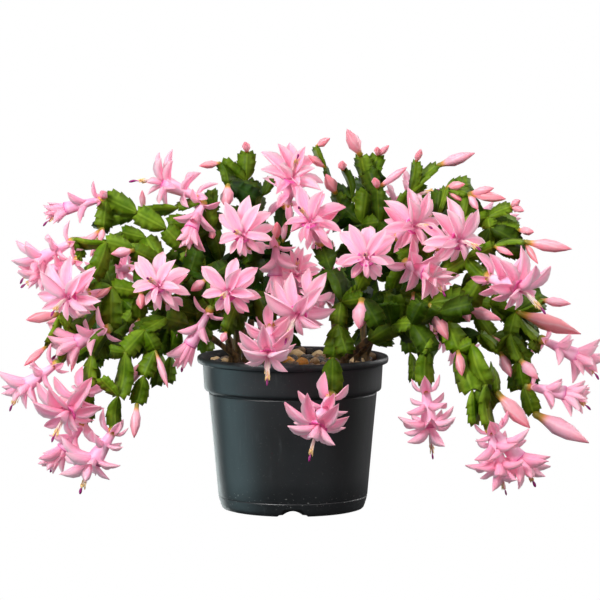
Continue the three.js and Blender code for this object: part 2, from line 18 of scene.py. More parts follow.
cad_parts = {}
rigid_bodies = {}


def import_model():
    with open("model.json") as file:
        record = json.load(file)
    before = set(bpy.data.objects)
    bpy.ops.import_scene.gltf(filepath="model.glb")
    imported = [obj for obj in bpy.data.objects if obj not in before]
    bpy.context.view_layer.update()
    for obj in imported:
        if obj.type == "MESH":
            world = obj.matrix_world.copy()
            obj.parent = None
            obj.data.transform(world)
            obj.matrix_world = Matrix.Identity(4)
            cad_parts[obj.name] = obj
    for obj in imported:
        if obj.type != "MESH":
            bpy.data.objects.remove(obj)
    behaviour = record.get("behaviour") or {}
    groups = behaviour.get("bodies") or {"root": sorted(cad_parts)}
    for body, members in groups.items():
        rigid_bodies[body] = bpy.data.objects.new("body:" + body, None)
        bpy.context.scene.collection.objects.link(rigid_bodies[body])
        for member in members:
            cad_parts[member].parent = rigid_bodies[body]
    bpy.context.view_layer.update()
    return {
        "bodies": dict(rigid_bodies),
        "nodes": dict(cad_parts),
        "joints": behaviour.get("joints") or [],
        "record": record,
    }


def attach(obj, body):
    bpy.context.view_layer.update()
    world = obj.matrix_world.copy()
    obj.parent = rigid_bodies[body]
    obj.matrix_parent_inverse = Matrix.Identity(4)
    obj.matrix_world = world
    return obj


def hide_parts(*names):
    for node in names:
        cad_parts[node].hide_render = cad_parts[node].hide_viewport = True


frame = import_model()
MM = 0.001
FULL_TURN = 2 * math.pi

# %% [markdown]
# ## The view
#
# The plant is seen from the front, almost level, from far away, as a product is. A long lens from
# 3.6 m keeps the pot's sides nearly parallel.


# %% Camera
def put(name, data):
    """A new object in the scene."""
    made = bpy.data.objects.new(name, data)
    bpy.context.collection.objects.link(made)
    return made


EYE = Vector((0.0072, -3.6, 0.519))
VIEW_PITCH = math.radians(4.91)
LENS = 216
FARTHEST_SEEN = 50
camera = put("camera", bpy.data.cameras.new("camera"))
camera.data.lens = LENS
camera.data.clip_end = FARTHEST_SEEN
camera.location = EYE
camera.rotation_euler = (math.radians(90) - VIEW_PITCH, 0, 0)
bpy.context.scene.camera = camera
bpy.context.scene.view_settings.view_transform = "Standard"
print("lens:", LENS, "mm")

# %% [markdown]
# ## Writing a material as a formula
#
# A material's node tree is a formula drawn as boxes and wires. In Python it reads like the
# formula: a wire is a value, and adding two wires makes an Add node. Colours are mixed by Mix
# nodes, because a Math node would turn them grey. Paint goes on in coats: each has a share, often
# a noise or a distance from an edge, and a colour of its own.


# %% A colour and a node
def shade(*colour):
    """A colour as a screen shows it, in the linear numbers that a shader works with."""
    shares = [value / 255 for value in colour]
    linear = [s / 12.92 if s < 0.04045 else ((s + 0.055) / 1.055) ** 2.4 for s in shares]
    return (*linear, 1)


def add_node(tree, kind, settings=None, feeds=()):
    """A node with its settings, whose inputs are fed by wires, sockets or plain values."""
    made = tree.nodes.new(kind)
    for name, value in (settings or {}).items():
        setattr(made, name, value)
    feeds = feeds if isinstance(feeds, dict) else dict(enumerate(feeds))
    for name, value in feeds.items():
        value = getattr(value, "socket", value)
        if isinstance(value, bpy.types.NodeSocket):
            tree.links.new(value, made.inputs[name])
        elif value is not None:
            made.inputs[name].default_value = value
    return made


print("middle grey:", shade(128, 128, 128))


# %% A wire and a surface
def operator(operation, swapped=False):
    """A method that joins a wire and another value by a Math node."""
    def joined(self, other):
        values = (other, self) if swapped else (self, other)
        return self.surface.math(operation, *values)

    return joined


class Wire:
    """One output socket of a material's tree."""

    def __init__(self, surface, socket):
        self.surface = surface
        self.socket = socket

    __add__ = __radd__ = operator("ADD")
    __mul__ = __rmul__ = operator("MULTIPLY")
    __sub__ = operator("SUBTRACT")
    __rsub__ = operator("SUBTRACT", swapped=True)

    def to(self, low, high):
        """0 below low, 1 above high, and a smooth step between."""
        settings = {"interpolation_type": "SMOOTHSTEP"}
        return self.surface.node("ShaderNodeMapRange", settings, [self, low, high, 0.0, 1.0])


# A Mix node has sockets for numbers and vectors too. These are the ones for colours.
MIX_SHARE, MIX_FIRST, MIX_SECOND, MIX_RESULT = 0, 6, 7, 2


class Surface:
    """A material whose tree is filled by expressions."""

    def __init__(self, name):
        self.material = bpy.data.materials.new(name)
        self.material.use_nodes = True
        self.tree = self.material.node_tree
        self.tree.nodes.clear()

    def node(self, kind, settings=None, feeds=(), output=0):
        return Wire(self, add_node(self.tree, kind, settings, feeds).outputs[output])

    def math(self, operation, *values):
        return self.node("ShaderNodeMath", {"operation": operation}, values)

    def mix(self, share, *colours):
        """Two colours, each a wire or a red, a green and a blue, mixed by the second's share."""
        first, second = [shade(*c) if isinstance(c, tuple) else c for c in colours]
        feeds = {MIX_SHARE: share, MIX_FIRST: first, MIX_SECOND: second}
        settings = {"data_type": "RGBA", "clamp_factor": True}
        return self.node("ShaderNodeMix", settings, feeds, MIX_RESULT)

    def coats(self, colour, *coats):
        """Coats of paint over a colour: the share of each, then its red, green and blue."""
        for share, *paint in coats:
            colour = self.mix(share, colour, tuple(paint))
        return colour

    def here(self):
        """Where the point is on the object itself."""
        return self.node("ShaderNodeTexCoord", output="Object")

    def stretched(self, where, scale):
        return self.node("ShaderNodeMapping", {}, {"Vector": where, "Scale": scale})

    def noise(self, scale, detail=2.0, where=None):
        feeds = {"Vector": where or self.here(), "Scale": scale, "Detail": detail}
        return self.node("ShaderNodeTexNoise", {}, feeds)

    def tone(self):
        """The shade that each copy carries."""
        return self.node("ShaderNodeAttribute", {"attribute_name": "tone"}, output="Fac")

    def own_map(self):
        return self.node("ShaderNodeUVMap", {"uv_map": "UVMap"})

    def along_and_across(self):
        """The two ways of a shape's own map."""
        split = add_node(self.tree, "ShaderNodeSeparateXYZ", {}, [self.own_map()])
        return Wire(self, split.outputs["Y"]), Wire(self, split.outputs["X"])

    def finish(self, colour, roughness=None, bump=None, **sockets):
        """The material, once its shader is fed. A bump is a height, a distance and a strength."""
        feeds = {"Base Color": colour, "Roughness": roughness}
        if bump:
            bump = dict(zip(("Height", "Distance", "Strength"), bump))
            feeds["Normal"] = self.node("ShaderNodeBump", {}, bump)
        for name, value in sockets.items():
            feeds[name.replace("_", " ").title().replace("Ior", "IOR")] = value
        shader = self.node("ShaderNodeBsdfPrincipled", {}, feeds)
        add_node(self.tree, "ShaderNodeOutputMaterial", {}, {"Surface": shader})
        return self.material


print("materials are written as formulas")

# %% [markdown]
# ## The floor and the light
#
# The floor and the walls are white sheets that glow just enough to be white. They light nothing
# and take no shadow, so the petals stand out from them. Soft air lights the plant from above.
#
# One soft light stands high up to the left of the camera, a weaker one to the right, and a third
# hangs over the plant. Black plastic shows little but what it mirrors. The pot's side leans, so it
# mirrors what is low down: the dark air there, and a pale blue card on the left that draws the
# soft grey down the pot. Two strips behind it draw its two edges.

# %% Floor and walls
WHITE, BLACK = (1, 1, 1, 1), (0, 0, 0, 1)
ROOM = 6.0


def glowing(name, corners):
    """A white sheet that the camera sees and that lights nothing."""
    mesh = bpy.data.meshes.new(name)
    mesh.from_pydata(corners, [], [(0, 1, 2, 3)])
    mesh.materials.append(Surface(name).finish(
        BLACK, specular_ior_level=0, emission_color=WHITE, emission_strength=1))
    made = put(name, mesh)
    made.visible_diffuse = made.visible_glossy = made.visible_shadow = False


glowing("floor", [(-ROOM, -ROOM, 0), (ROOM, -ROOM, 0), (ROOM, ROOM, 0), (-ROOM, ROOM, 0)])
for number, (x, y) in enumerate([(0, 1), (1, 0), (0, -1), (-1, 0)]):
    (x1, y1), (x2, y2) = [((x + side * y) * ROOM, (y - side * x) * ROOM) for side in (-1, 1)]
    glowing(f"wall_{number}", [(x1, y1, 0), (x2, y2, 0), (x2, y2, ROOM), (x1, y1, ROOM)])
print("floor and walls:", ROOM, "m away")

# %% Air and lights
AIR = {"From Min": -0.3, "From Max": 0.25, "To Min": 0.08, "To Max": 0.38}
# place, height that it is aimed at over the origin, width, height, power, colour
LIGHTS = {
    "key": ((-1.4, -1.9, 1.6), 0.2, 0.8, 0.8, 68, (1, 1, 1)),
    "card": ((-1.3, -0.1, -0.25), 0.08, 1.2, 0.7, 6.5, (0.6, 0.93, 1)),
    "left_edge": ((-0.6, 1.1, -0.2), 0.08, 0.35, 0.8, 5, (0.9, 1, 1)),
    "fill": ((1.8, -1.6, 0.9), 0.2, 1.0, 1.4, 16, (1, 1, 1)),
    "edge": ((1.3, 0.9, 0.7), 0.15, 0.5, 1.2, 12, (1, 1, 1)),
    "top": ((0.1, 0.2, 1.9), 0.2, 1.2, 1.2, 14, (1, 1, 1)),
}

world = bpy.data.worlds.new("studio")
world.use_nodes = True
air = world.node_tree
way = add_node(air, "ShaderNodeTexCoord").outputs["Generated"]
height = add_node(air, "ShaderNodeSeparateXYZ", {}, [way]).outputs["Z"]
bright = add_node(air, "ShaderNodeMapRange", {}, {"Value": height, **AIR}).outputs[0]
background = air.nodes["Background"]
background.inputs["Color"].default_value = WHITE
air.links.new(bright, background.inputs["Strength"])
bpy.context.scene.world = world

for name, (where, aim, width, height, power, colour) in LIGHTS.items():
    light = bpy.data.lights.new(name, "AREA")
    light.shape = "RECTANGLE"
    light.size, light.size_y = width, height
    light.energy, light.color = power, colour
    lamp = put(name, light)
    lamp.location = where
    towards = Vector((0, 0, aim)) - Vector(where)
    lamp.rotation_euler = towards.to_track_quat("-Z", "Y").to_euler()
    lamp.visible_camera = False
print("lights:", *LIGHTS)

# %% [markdown]
# ## Where everything grows
#
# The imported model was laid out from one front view. This file repeats its list, with a few joints
# set a little nearer or farther, and adds the small shoots. A joint is written as where the front
# view shows it, in steps across and down a square of 600, and how far it lies behind or before the
# pot. One step is about a millimetre. A stem is a list of shoots, and a shoot is a list of joints:
# the first shoot starts at the soil, and each later one at the nearest joint that is already
# there.


# %% A place in the front view
VIEW_MIDDLE = 300
VIEW_STEPS = 3600


def place(across, down, depth):
    """The point in metres that the front view shows at a place, at a depth in millimetres."""
    forward = Vector((0, math.cos(VIEW_PITCH), -math.sin(VIEW_PITCH)))
    up = Vector((0, math.sin(VIEW_PITCH), math.cos(VIEW_PITCH)))
    ray = forward + up * ((VIEW_MIDDLE - down) / VIEW_STEPS)
    ray.x = (across - VIEW_MIDDLE) / VIEW_STEPS
    return EYE + ray * ((depth * MM - EYE.y) / ray.y)


print("the middle of the pot's rim:", place(292.8, 350, 0))

# %% The stems: joints, buds and flowers
# A line that starts with a space goes on from the line above it.
# shoot: each joint's place across, down and behind, and the width that is seen. Where the width is
# left out, the pad is turned by habit. small: the same, for pads of the visual model only.
# buds: across and down at the base, then at the tip, then the width.
# flowers: across and down at the base, then at the mouth, the size, and how far it is open.
STEM_TABLE = """
stem left_upper
shoot 238 353 -8, 236 322 -20, 229 291 -32, 220 262 -42, 211 232 -50, 204 200 -54
shoot 184 246 -66 20
shoot 178 208 -60 12, 143 212 -62 12
shoot 205 272 -62, 186 250 -80, 166 229 -88 24, 137 213 -88 24, 106 198 -84 24
shoot 103 228 -92 18
shoot 108 214 -70 12
small 214 212 -40 16, 212 190 -36 14
small 196 222 -50 20, 168 224 -60 22
buds 152 182 142 190 6, 104 196 101 191 8, 102 229 71 256 9, 113 238 100 242 7, 219 230 213 238 7
flowers 203 193 158 180 0.95 0.8, 203 203 190 232 0.85 0.25, 95 207 60 210 0.75 0.2
stem left_middle
shoot 232 354 -30, 224 326 -52, 210 300 -75, 188 280 -95, 160 262 -106, 134 250 -122,
 106 242 -132 20, 76 240 -130 10
shoot 93 277 -140 19
shoot 82 258 -128 10
shoot 196 314 -98, 170 302 -114 24, 141 292 -124 24, 112 287 -126 22, 88 293 -124 20
shoot 112 327 -135 22, 93 354 -140 14, 88 387 -142 16, 86 421 -142 18
shoot 101 308 -122 14, 80 338 -122 14, 60 362 -144 10
shoot 60 314 -132 8, 48 345 -134 9
shoot 70 325 -128 12
small 146 238 -86 22, 122 232 -90 22
small 140 318 -110 16
buds 137 243 111 254 9, 60 303 26 320 11, 118 298 95 298 6, 147 287 141 309 9, 131 326 129 336 7,
 46 346 24 366 7, 78 348 71 372 7
flowers 70 246 35 262 0.85 0.6, 78 256 38 275 0.75 0.35, 88 293 66 298 1.1 0.9,
 170 302 156 283 1.0 0.9, 112 327 72 344 0.9 0.35, 60 362 22 388 0.85 0.5, 88 389 66 415 1.1 0.8,
 84 432 60 452 0.8 0.15
stem left_lower
shoot 236 356 -50, 212 338 -76, 188 324 -102, 166 318 -128, 145 330 -150, 125 352 -162 20,
 118 396 -166 20, 116 427 -166 15
shoot 155 350 -150 26, 144 376 -158 22, 137 403 -160 22
shoot 110 350 -160 14
shoot 101 378 -172 14
buds 137 403 134 438 9, 157 356 168 388 6
flowers 116 436 90 466 1.05 0.8
stem crown_left
shoot 250 352 5, 251 320 0, 253 287 -4, 255 251 -8, 254 216 -10 24, 246 181 -10 24, 247 152 -10 20
shoot 246 181 -10, 221 163 -16 17
shoot 250 262 -38, 252 246 -66
shoot 228 184 -30 14
shoot 270 306 18, 277 274 20, 283 242 16, 286 208 8
shoot 272 254 -8, 276 240 -38
shoot 296 296 -10
small 234 252 -20 20
small 262 196 6 14, 270 178 8 12
small 228 214 -6 16
small 262 226 4 16
buds 246 151 245 142 8, 220 163 199 166 7, 228 185 226 208 12, 277 240 277 222 9,
 284 232 286 222 7
flowers 252 246 241 233 1.0 0.95, 286 208 293 172 1.1 0.65, 276 241 275 280 0.85 0.15,
 296 296 297 268 0.8 0.5
stem front_left
shoot 246 354 -42, 242 330 -66, 238 312 -96, 236 300 -126
shoot 258 296 -118, 270 322 -134 22
shoot 212 306 -118
shoot 226 332 -140 15
shoot 206 280 -112 13
buds 223 333 222 342 7, 202 277 191 291 9
flowers 236 300 227 291 1.05 0.95, 271 325 268 357 1.0 0.85, 211 308 187 350 0.8 0.15
stem front_right
shoot 344 355 -36, 345 328 -56, 344 306 -82, 341 302 -112, 338 324 -132 24, 333 357 -138 24,
 332 392 -140 24
shoot 331 270 -92, 315 295 -112 24
shoot 358 290 -98, 368 270 -118
shoot 362 298 -130 23
shoot 322 244 -72
buds 362 297 359 329 14
flowers 315 295 296 316 1.15 0.9, 368 270 366 256 1.05 1.0, 322 244 308 217 1.05 0.95,
 332 392 317 430 1.1 0.85
stem crown_right
shoot 364 352 15, 363 320 12, 362 288 8, 361 256 4, 362 224 0 22, 367 190 -2 22, 361 156 -4 18
shoot 367 190 -2, 378 156 2 20
shoot 380 222 -20 18, 378 188 -24 16
shoot 352 198 8 10, 343 170 10 9
shoot 345 226 14, 336 194 14, 326 168 12 8, 316 147 10 8
shoot 382 264 -6, 394 232 -12, 410 194 -14 14, 416 162 -14 12
shoot 410 194 -14, 437 166 -16 13
shoot 396 238 -46
small 376 164 6 14
small 338 250 -20 18
small 424 184 -10 12
buds 361 153 347 129 12, 381 153 389 145 6, 375 154 377 147 7, 382 182 407 167 8,
 376 186 374 178 8, 317 145 330 138 7, 323 165 308 155 7, 330 182 326 174 11, 343 170 342 161 8,
 416 160 421 149 7, 437 165 475 153 10
flowers 396 238 417 224 1.05 0.75
stem right_upper
shoot 366 354 -6, 378 326 -20, 390 298 -34, 402 270 -48, 418 244 -56, 436 218 -58, 446 188 -56 10
shoot 468 194 -66 12
shoot 462 222 -72, 488 217 -72 14, 511 207 -70 14
shoot 490 228 -80 16, 518 230 -80 18
shoot 436 246 -86
shoot 404 262 -82
buds 446 188 465 184 8, 471 191 494 188 8, 444 200 462 201 7, 469 205 506 199 10,
 475 199 478 210 7, 511 206 520 200 7, 511 208 524 211 7, 519 230 534 232 8
flowers 436 246 462 240 1.1 0.95, 404 262 430 275 1.0 0.3
stem right_middle
shoot 358 356 -34, 376 334 -60, 394 312 -82, 414 292 -98, 440 274 -108, 466 258 -112,
 494 246 -112 14, 524 242 -110 8
shoot 484 276 -128 17
shoot 464 308 -120 26
shoot 430 303 -126
shoot 402 326 -50, 430 312 -52, 460 304 -56 20, 490 304 -60 16, 516 312 -62 12, 538 338 -64 12
shoot 540 300 -56 8
shoot 510 334 -74, 520 360 -84 14, 524 386 -88 14, 533 413 -90 20
shoot 500 352 -70 10
shoot 532 350 -70 15
small 462 286 -84 22
small 480 334 -70 14, 500 352 -72 12
small 476 314 -50 20, 492 336 -56 22
small 484 326 -40 18
small 504 296 -60 16
buds 525 242 572 249 11, 497 253 513 255 7, 530 250 538 264 6, 469 306 469 322 8,
 471 306 501 320 11, 430 303 448 340 12, 411 293 417 319 12, 530 315 581 334 14,
 541 299 571 304 8, 534 414 589 443 15, 505 352 511 377 10, 520 352 538 379 11, 498 340 504 350 7
flowers 484 276 522 290 1.1 0.9, 538 338 582 358 0.9 0.4, 524 386 570 394 0.85 0.25
stem right_lower
shoot 346 358 -54, 368 340 -80, 392 326 -104, 412 324 -130, 426 349 -146 20, 425 384 -150 20
shoot 418 308 -104, 444 318 -120, 458 350 -138 24, 472 390 -154 26, 475 424 -156 14
shoot 472 344 -142 20, 486 384 -150 20, 489 426 -152 15
shoot 492 366 -134 10, 496 392 -136 10
small 392 340 -70 12
buds 495 390 530 428 14, 452 361 462 376 9
flowers 425 386 430 432 1.0 0.9, 489 430 500 470 0.95 0.75, 489 428 522 462 1.0 0.35
"""


def read_stems(table):
    """The table's rows as lists of numbers, by stem and by kind."""
    stems = {}
    for line in table.strip().replace("\n ", " ").splitlines():
        kind, _, rest = line.partition(" ")
        if kind == "stem":
            stem = stems[rest] = {"shoot": [], "small": [], "buds": [], "flowers": []}
            continue
        rows = [[float(word) for word in row.split()] for row in rest.split(",")]
        stem[kind] += rows if kind in ("buds", "flowers") else [rows]
    return stems


STEMS = read_stems(STEM_TABLE)
# each far stem: the stem that it repeats, its turn round the pot, and the flowers that it keeps
FAR_STEMS = {
    "far_right": ("left_upper", 172, [0, 2]),
    "far_back_right": ("left_middle", 200, [0, 3, 4, 5]),
    "far_back": ("front_right", 165, [0, 1, 3]),
    "far_back_left": ("right_lower", 170, []),
    "far_left": ("right_middle", 178, [0]),
}
print("joints listed:", sum(len(rows) for stem in STEMS.values() for rows in stem["shoot"]))

# %% [markdown]
# ## How a stem grows
#
# A christmas cactus has no leaves. Its stem is a chain of flat green pads, each growing out of the
# cut-off end of the one before. A pad turns about its own length, so the view sees some flat and
# some from the edge. A listed width is the width seen, and its arc cosine is the turn.

# %% Shoots as lists of points
PAD_LENGTH = 34 * MM
PAD_WIDTH = 23 * MM
NARROWEST, WIDEST = 0.75, 1.15
# A pad whose width isn't listed turns by about half a radian, each one by another amount.
HABIT_TURN, HABIT_SWING, HABIT_STEP = 0.5, 0.3, 2.4
FRONT = Vector((0, -1, 0.15))
LEAST_FACE = 0.3
GRAVEL_TOP = 150 * MM
FAR_SCALE = 0.9


def grow(shoots):
    """The shoots' points, the widths seen, and whether each is rooted."""
    joints = []
    grown = []
    for rows in shoots:
        points = [place(*row[:3]) for row in rows]
        seen = [row[3] if len(row) > 3 else None for row in rows]
        start = min(joints, key=lambda joint: (joint - points[0]).length, default=points[0])
        if (start - points[0]).length < MM:
            grown.append((points, seen[1:], not joints))
        else:
            grown.append(([start] + points, seen, False))
        joints += points
    return grown


def nearest_joint(shoots, across, down):
    def away(joint):
        there = place(across, down, joint.y / MM)
        return math.hypot(there.x - joint.x, there.z - joint.z)

    return min((joint for points, _, _ in shoots for joint in points), key=away)


def frame_of(along, twist=0.0):
    """A side and a face at right angles to a way, with the face towards the front."""
    face = FRONT - along * FRONT.dot(along)
    if face.length < LEAST_FACE:
        face = Vector((0, 0, 1)) - along * along.z
    face = Matrix.Rotation(twist, 3, along) @ face.normalized()
    return along.cross(face), face


def pad_of(start, end, seen, number):
    """Where a pad between two joints points, its size, and how it is turned."""
    along = end - start
    length = along.length
    along.normalize()
    width = PAD_WIDTH * min(max(length / PAD_LENGTH, NARROWEST), WIDEST)
    habit = HABIT_TURN + HABIT_SWING * math.sin(number * HABIT_STEP)
    turn = math.acos(min(1.0, seen * MM / width)) if seen else habit
    side, face = frame_of(along, turn if number % 2 else -turn)
    return along, side, face, length, width


def far_move(turn):
    """The same plant again on the far side: turned round the pot and a little smaller."""
    lift = Matrix.Translation((0, 0, GRAVEL_TOP))
    turned = Matrix.Rotation(math.radians(turn), 4, "Z")
    return turned @ lift @ Matrix.Scale(FAR_SCALE, 4) @ lift.inverted()


PLANTS = [(name, name, Matrix(), range(len(stem["flowers"]))) for name, stem in STEMS.items()]
PLANTS += [(name, of, far_move(turn), kept) for name, (of, turn, kept) in FAR_STEMS.items()]
GROWN = {name: grow(stem["shoot"]) for name, stem in STEMS.items()}
print("plants:", len(PLANTS), "first joint:", GROWN["left_upper"][0][0][0])

# %% [markdown]
# ## One shape, skinned over rings
#
# A pad, a petal, a bud, a stamen and a stone are all made the same way: rings of points along a
# line, and a skin over them. The end rings are closed with a face, so each shape is a small solid.
# The shapes stay out of the scene, since they are only patterns for the copies. Each has a few
# dozen faces, because hundreds of copies will be made.


# %% Skin over rings
def skin(name, rings, across):
    """A closed mesh over rings. The map's v is a ring's share of the length, its u is across."""
    mesh = bpy.data.meshes.new(name)
    count = len(rings[0])
    points = [point for ring in rings for point in ring]
    faces = []
    for i in range(len(rings) - 1):
        for j in range(count):
            k = (j + 1) % count
            faces.append((i * count + j, i * count + k, (i + 1) * count + k, (i + 1) * count + j))
    faces.append(tuple(reversed(range(count))))
    faces.append(tuple(range((len(rings) - 1) * count, len(rings) * count)))
    mesh.from_pydata(points, [], faces)
    uv = mesh.uv_layers.new(name="UVMap")
    longest = max(point[1] for point in points)
    for loop in mesh.loops:
        share = max(0.0, points[loop.vertex_index][1] / longest)
        uv.data[loop.index].uv = (across[loop.vertex_index % count], share)
    out = bmesh.new()
    out.from_mesh(mesh)
    bmesh.ops.recalc_face_normals(out, faces=out.faces)
    out.to_mesh(mesh)
    out.free()
    mesh.polygons.foreach_set("use_smooth", [True] * len(mesh.polygons))
    return bpy.data.objects.new(name, mesh)


def family(name, shapes):
    """A collection of shapes, out of the scene, that copies pick from by number."""
    made = bpy.data.collections.new(name)
    for shape in shapes:
        made.objects.link(shape)
    print(name + ":", len(shapes), "shapes of", len(shapes[0].data.polygons), "faces")
    return made


# %% [markdown]
# ## The pad
#
# A pad is flat, with a raised rib down its middle. Its edge is the mark of the kind: two or three
# pointed teeth on each side, and an end that looks cut off, with a horn at either corner. The
# outline is written down station by station, and each ring has only four points: the two edges,
# the rib and the underside. Six pads differ in their bend, bow, lean and teeth, which is enough
# that no two neighbours look alike.

# %% Pads
# along the rib, along the edge, half the width; the teeth are where the edge runs ahead of the rib
PAD_OUTLINE = [
    (0.00, 0.00, 0.09), (0.05, 0.05, 0.12), (0.15, 0.15, 0.27), (0.28, 0.28, 0.385),
    (0.37, 0.41, 0.47), (0.42, 0.405, 0.395), (0.54, 0.54, 0.455), (0.63, 0.68, 0.535),
    (0.68, 0.67, 0.44), (0.79, 0.79, 0.47), (0.87, 0.925, 0.50), (0.90, 0.90, 0.375),
    (0.945, 1.04, 0.31), (0.955, 0.95, 0.17), (0.97, 0.965, 0.06),
]
TOOTHED = range(4, 12)
PAD_END = 13
THICK, THINNER, THICK_END = 0.052, 0.018, 0.03
UNDERSIDE = 0.7
LEAN_STEP = 0.02


def pad_shape(name, bend, tooth, bow, lean):
    halves = [half for _, _, half in PAD_OUTLINE]
    rings = []
    for number, (rib, edge, half) in enumerate(PAD_OUTLINE):
        if number in TOOTHED:
            rest = (halves[number - 1] + halves[number + 1]) / 2
            half = rest + (half - rest) * tooth
        thick = THICK - THINNER * rib if number < PAD_END else THICK_END
        sag = bend * math.sin(math.pi * min(1.0, rib))
        rise = sag + bow * (half / 0.5) ** 2
        left = (-half * (1 + lean), edge - LEAN_STEP * lean * number, rise)
        right = (half * (1 - lean), edge + LEAN_STEP * lean * number, rise)
        rings.append([left, (0, rib, sag + thick), right, (0, rib, sag - thick * UNDERSIDE)])
    return skin(name, rings, [0.0, 0.5, 1.0, 0.5])


# bend, tooth, bow, lean
PAD_HABITS = [
    (0.05, 0.8, 0.02, 0.03), (-0.05, 0.9, -0.03, -0.04), (0.10, 0.7, 0.05, 0.05),
    (0.0, 1.0, 0.03, -0.02), (-0.09, 0.75, 0.01, 0.04), (0.03, 0.9, -0.05, 0.0),
]
PAD_KINDS = [pad_shape(f"pad_{k}", *habit) for k, habit in enumerate(PAD_HABITS)]
print("pads:", len(PAD_KINDS), "of", len(PAD_KINDS[0].data.polygons), "faces")

# %% [markdown]
# ## The wood and the bud
#
# The oldest joints, by the soil, have lost their flat wings and turned into brown sticks with a
# swelling at each former joint. A bud is a spindle, wound round with the tips of the petals folded
# inside: its eight edges stand up in turn and twist as they rise.


# %% Wood and buds
def spindle(name, profile, count, fold, sway, twist=0.0):
    """Rings from (along, radius) pairs, where fold lifts every other edge and sway the line."""
    rings = []
    for along, radius in profile:
        ring = []
        for j in range(count):
            angle = FULL_TURN * j / count + twist * along
            reach = radius * (1 + (fold(along) if j % 2 else -fold(along)))
            ring.append((reach * math.cos(angle), along, reach * math.sin(angle) + sway(along)))
        rings.append(ring)
    return skin(name, rings, [j / count for j in range(count)])


def arched(height):
    """A height that is full half-way along and nothing at both ends."""
    return lambda along: height * math.sin(math.pi * along)


WOOD_PROFILES = [
    [(0, 0.5), (0.1, 0.56), (0.3, 0.46), (0.55, 0.43), (0.8, 0.47), (0.93, 0.55), (1.0, 0.42)],
    [(0, 0.52), (0.15, 0.47), (0.4, 0.5), (0.6, 0.41), (0.85, 0.5), (0.95, 0.5), (1.0, 0.38)],
]
WOOD_HABITS = [(arched(0.10), arched(0.03), 0.4), (arched(0.12), arched(-0.04), -0.5)]
WOOD_KINDS = [
    spindle(f"wood_{k}", profile, 8, *habit)
    for k, (profile, habit) in enumerate(zip(WOOD_PROFILES, WOOD_HABITS))
]
BUD_FOOT = [(0, 0.17), (0.05, 0.27), (0.12, 0.25), (0.2, 0.30)]
BUD_TIP = [(0.88, 0.24), (1.0, 0.03)]
BUD_HABITS = [(0.52, 1.5, 0.02), (0.5, -1.3, -0.03), (0.52, 1.0, 0.0)]
BUD_KINDS = [
    spindle(f"bud_{k}", BUD_FOOT + [(0.42, fat), (0.66, fat * 0.92)] + BUD_TIP, 8,
            arched(0.15), arched(bend), twist)
    for k, (fat, twist, bend) in enumerate(BUD_HABITS)
]
print("sticks and buds:", len(WOOD_KINDS), "and", len(BUD_KINDS))

# %% [markdown]
# ## The petal
#
# A petal is a thin blade, narrow at its foot, broadest at the middle and drawn out to a point. It
# is hollow along its length, like a gutter, and bends back near its foot as the flower ages. The
# blade's line is walked in small steps, and at each step a ring goes across: five points on the
# inner face and three on the outer, so it is thin at its edges and thicker in the middle.

# %% Petals
PETAL_OUTLINE = [
    (0.0, 0.2), (0.15, 0.33), (0.33, 0.45), (0.52, 0.5), (0.69, 0.44), (0.84, 0.27), (0.95, 0.09),
    (1.0, 0.012),
]
PETAL_RING = [-1, -0.5, 0, 0.5, 1, 0.5, 0, -0.5]
OUTER_FROM = 5
BEND_ENDS = 0.45
PETAL_THICK, PETAL_THINNEST = 0.016, 0.006
WAVES = 5


def petal_shape(name, curl, cup, wave):
    rings = []
    y = z = before = 0.0
    for along, half in PETAL_OUTLINE:
        angle = math.radians(curl) * min(1.0, (along + before) / 2 / BEND_ENDS)
        y += (along - before) * math.cos(angle)
        z -= (along - before) * math.sin(angle)
        before = along
        lean = Vector((0, math.sin(angle), math.cos(angle)))
        thick = PETAL_THICK * (1 - along) + PETAL_THINNEST
        ring = []
        for spot, share in enumerate(PETAL_RING):
            rise = cup * half * share * share + wave * share * math.sin(along * WAVES)
            rise -= thick * 2 if spot >= OUTER_FROM else 0
            ring.append(tuple(Vector((half * share, y, z)) + lean * rise))
        rings.append(ring)
    made = skin(name, rings, [(share + 1) / 2 for share in PETAL_RING])
    uv = made.data.uv_layers["UVMap"]
    for loop in made.data.loops:
        uv.data[loop.index].uv.y = PETAL_OUTLINE[loop.vertex_index // len(PETAL_RING)][0]
    return made


# curl in degrees, cup, wave
PETAL_HABITS = [
    (-12, 0.5, 0.01), (12, 0.45, -0.02), (32, 0.4, 0.02), (50, 0.36, -0.02), (66, 0.32, 0.02),
]
PETAL_KINDS = [petal_shape(f"petal_{k}", *habit) for k, habit in enumerate(PETAL_HABITS)]
print("petals:", len(PETAL_KINDS), "of", len(PETAL_KINDS[0].data.polygons), "faces")

# %% [markdown]
# ## What stands in the throat of a flower
#
# The flower's tube starts at a green-yellow ovary and widens to its mouth. Out of it come a bundle
# of pale stamens, each with a cream anther, and one magenta style with a small star of a stigma. A
# humming-bird meets these first, so they stick out well past the petals.

# %% Tube, stamen, style
TUBE_PROFILE = [
    (0, 0.4), (0.05, 0.6), (0.13, 0.62), (0.19, 0.46), (0.3, 0.5), (0.6, 0.72), (0.85, 0.9),
    (0.97, 1.0), (1.0, 0.94), (0.995, 0.76), (0.95, 0.62), (0.93, 0.4),
]
STAMEN_PROFILE = [(0, 0.8), (0.5, 0.7), (0.9, 0.6), (0.91, 1.1), (0.96, 1.3), (1.0, 0.7)]
STYLE_PROFILE = [
    (0, 1.2), (0.3, 1.1), (0.6, 1.0), (0.85, 0.95), (0.88, 1.5), (0.93, 2.0), (0.97, 1.7),
    (1.0, 0.6),
]
THREAD_SHARE = 0.02
DROOPS = [0.02, 0.16, 0.32]


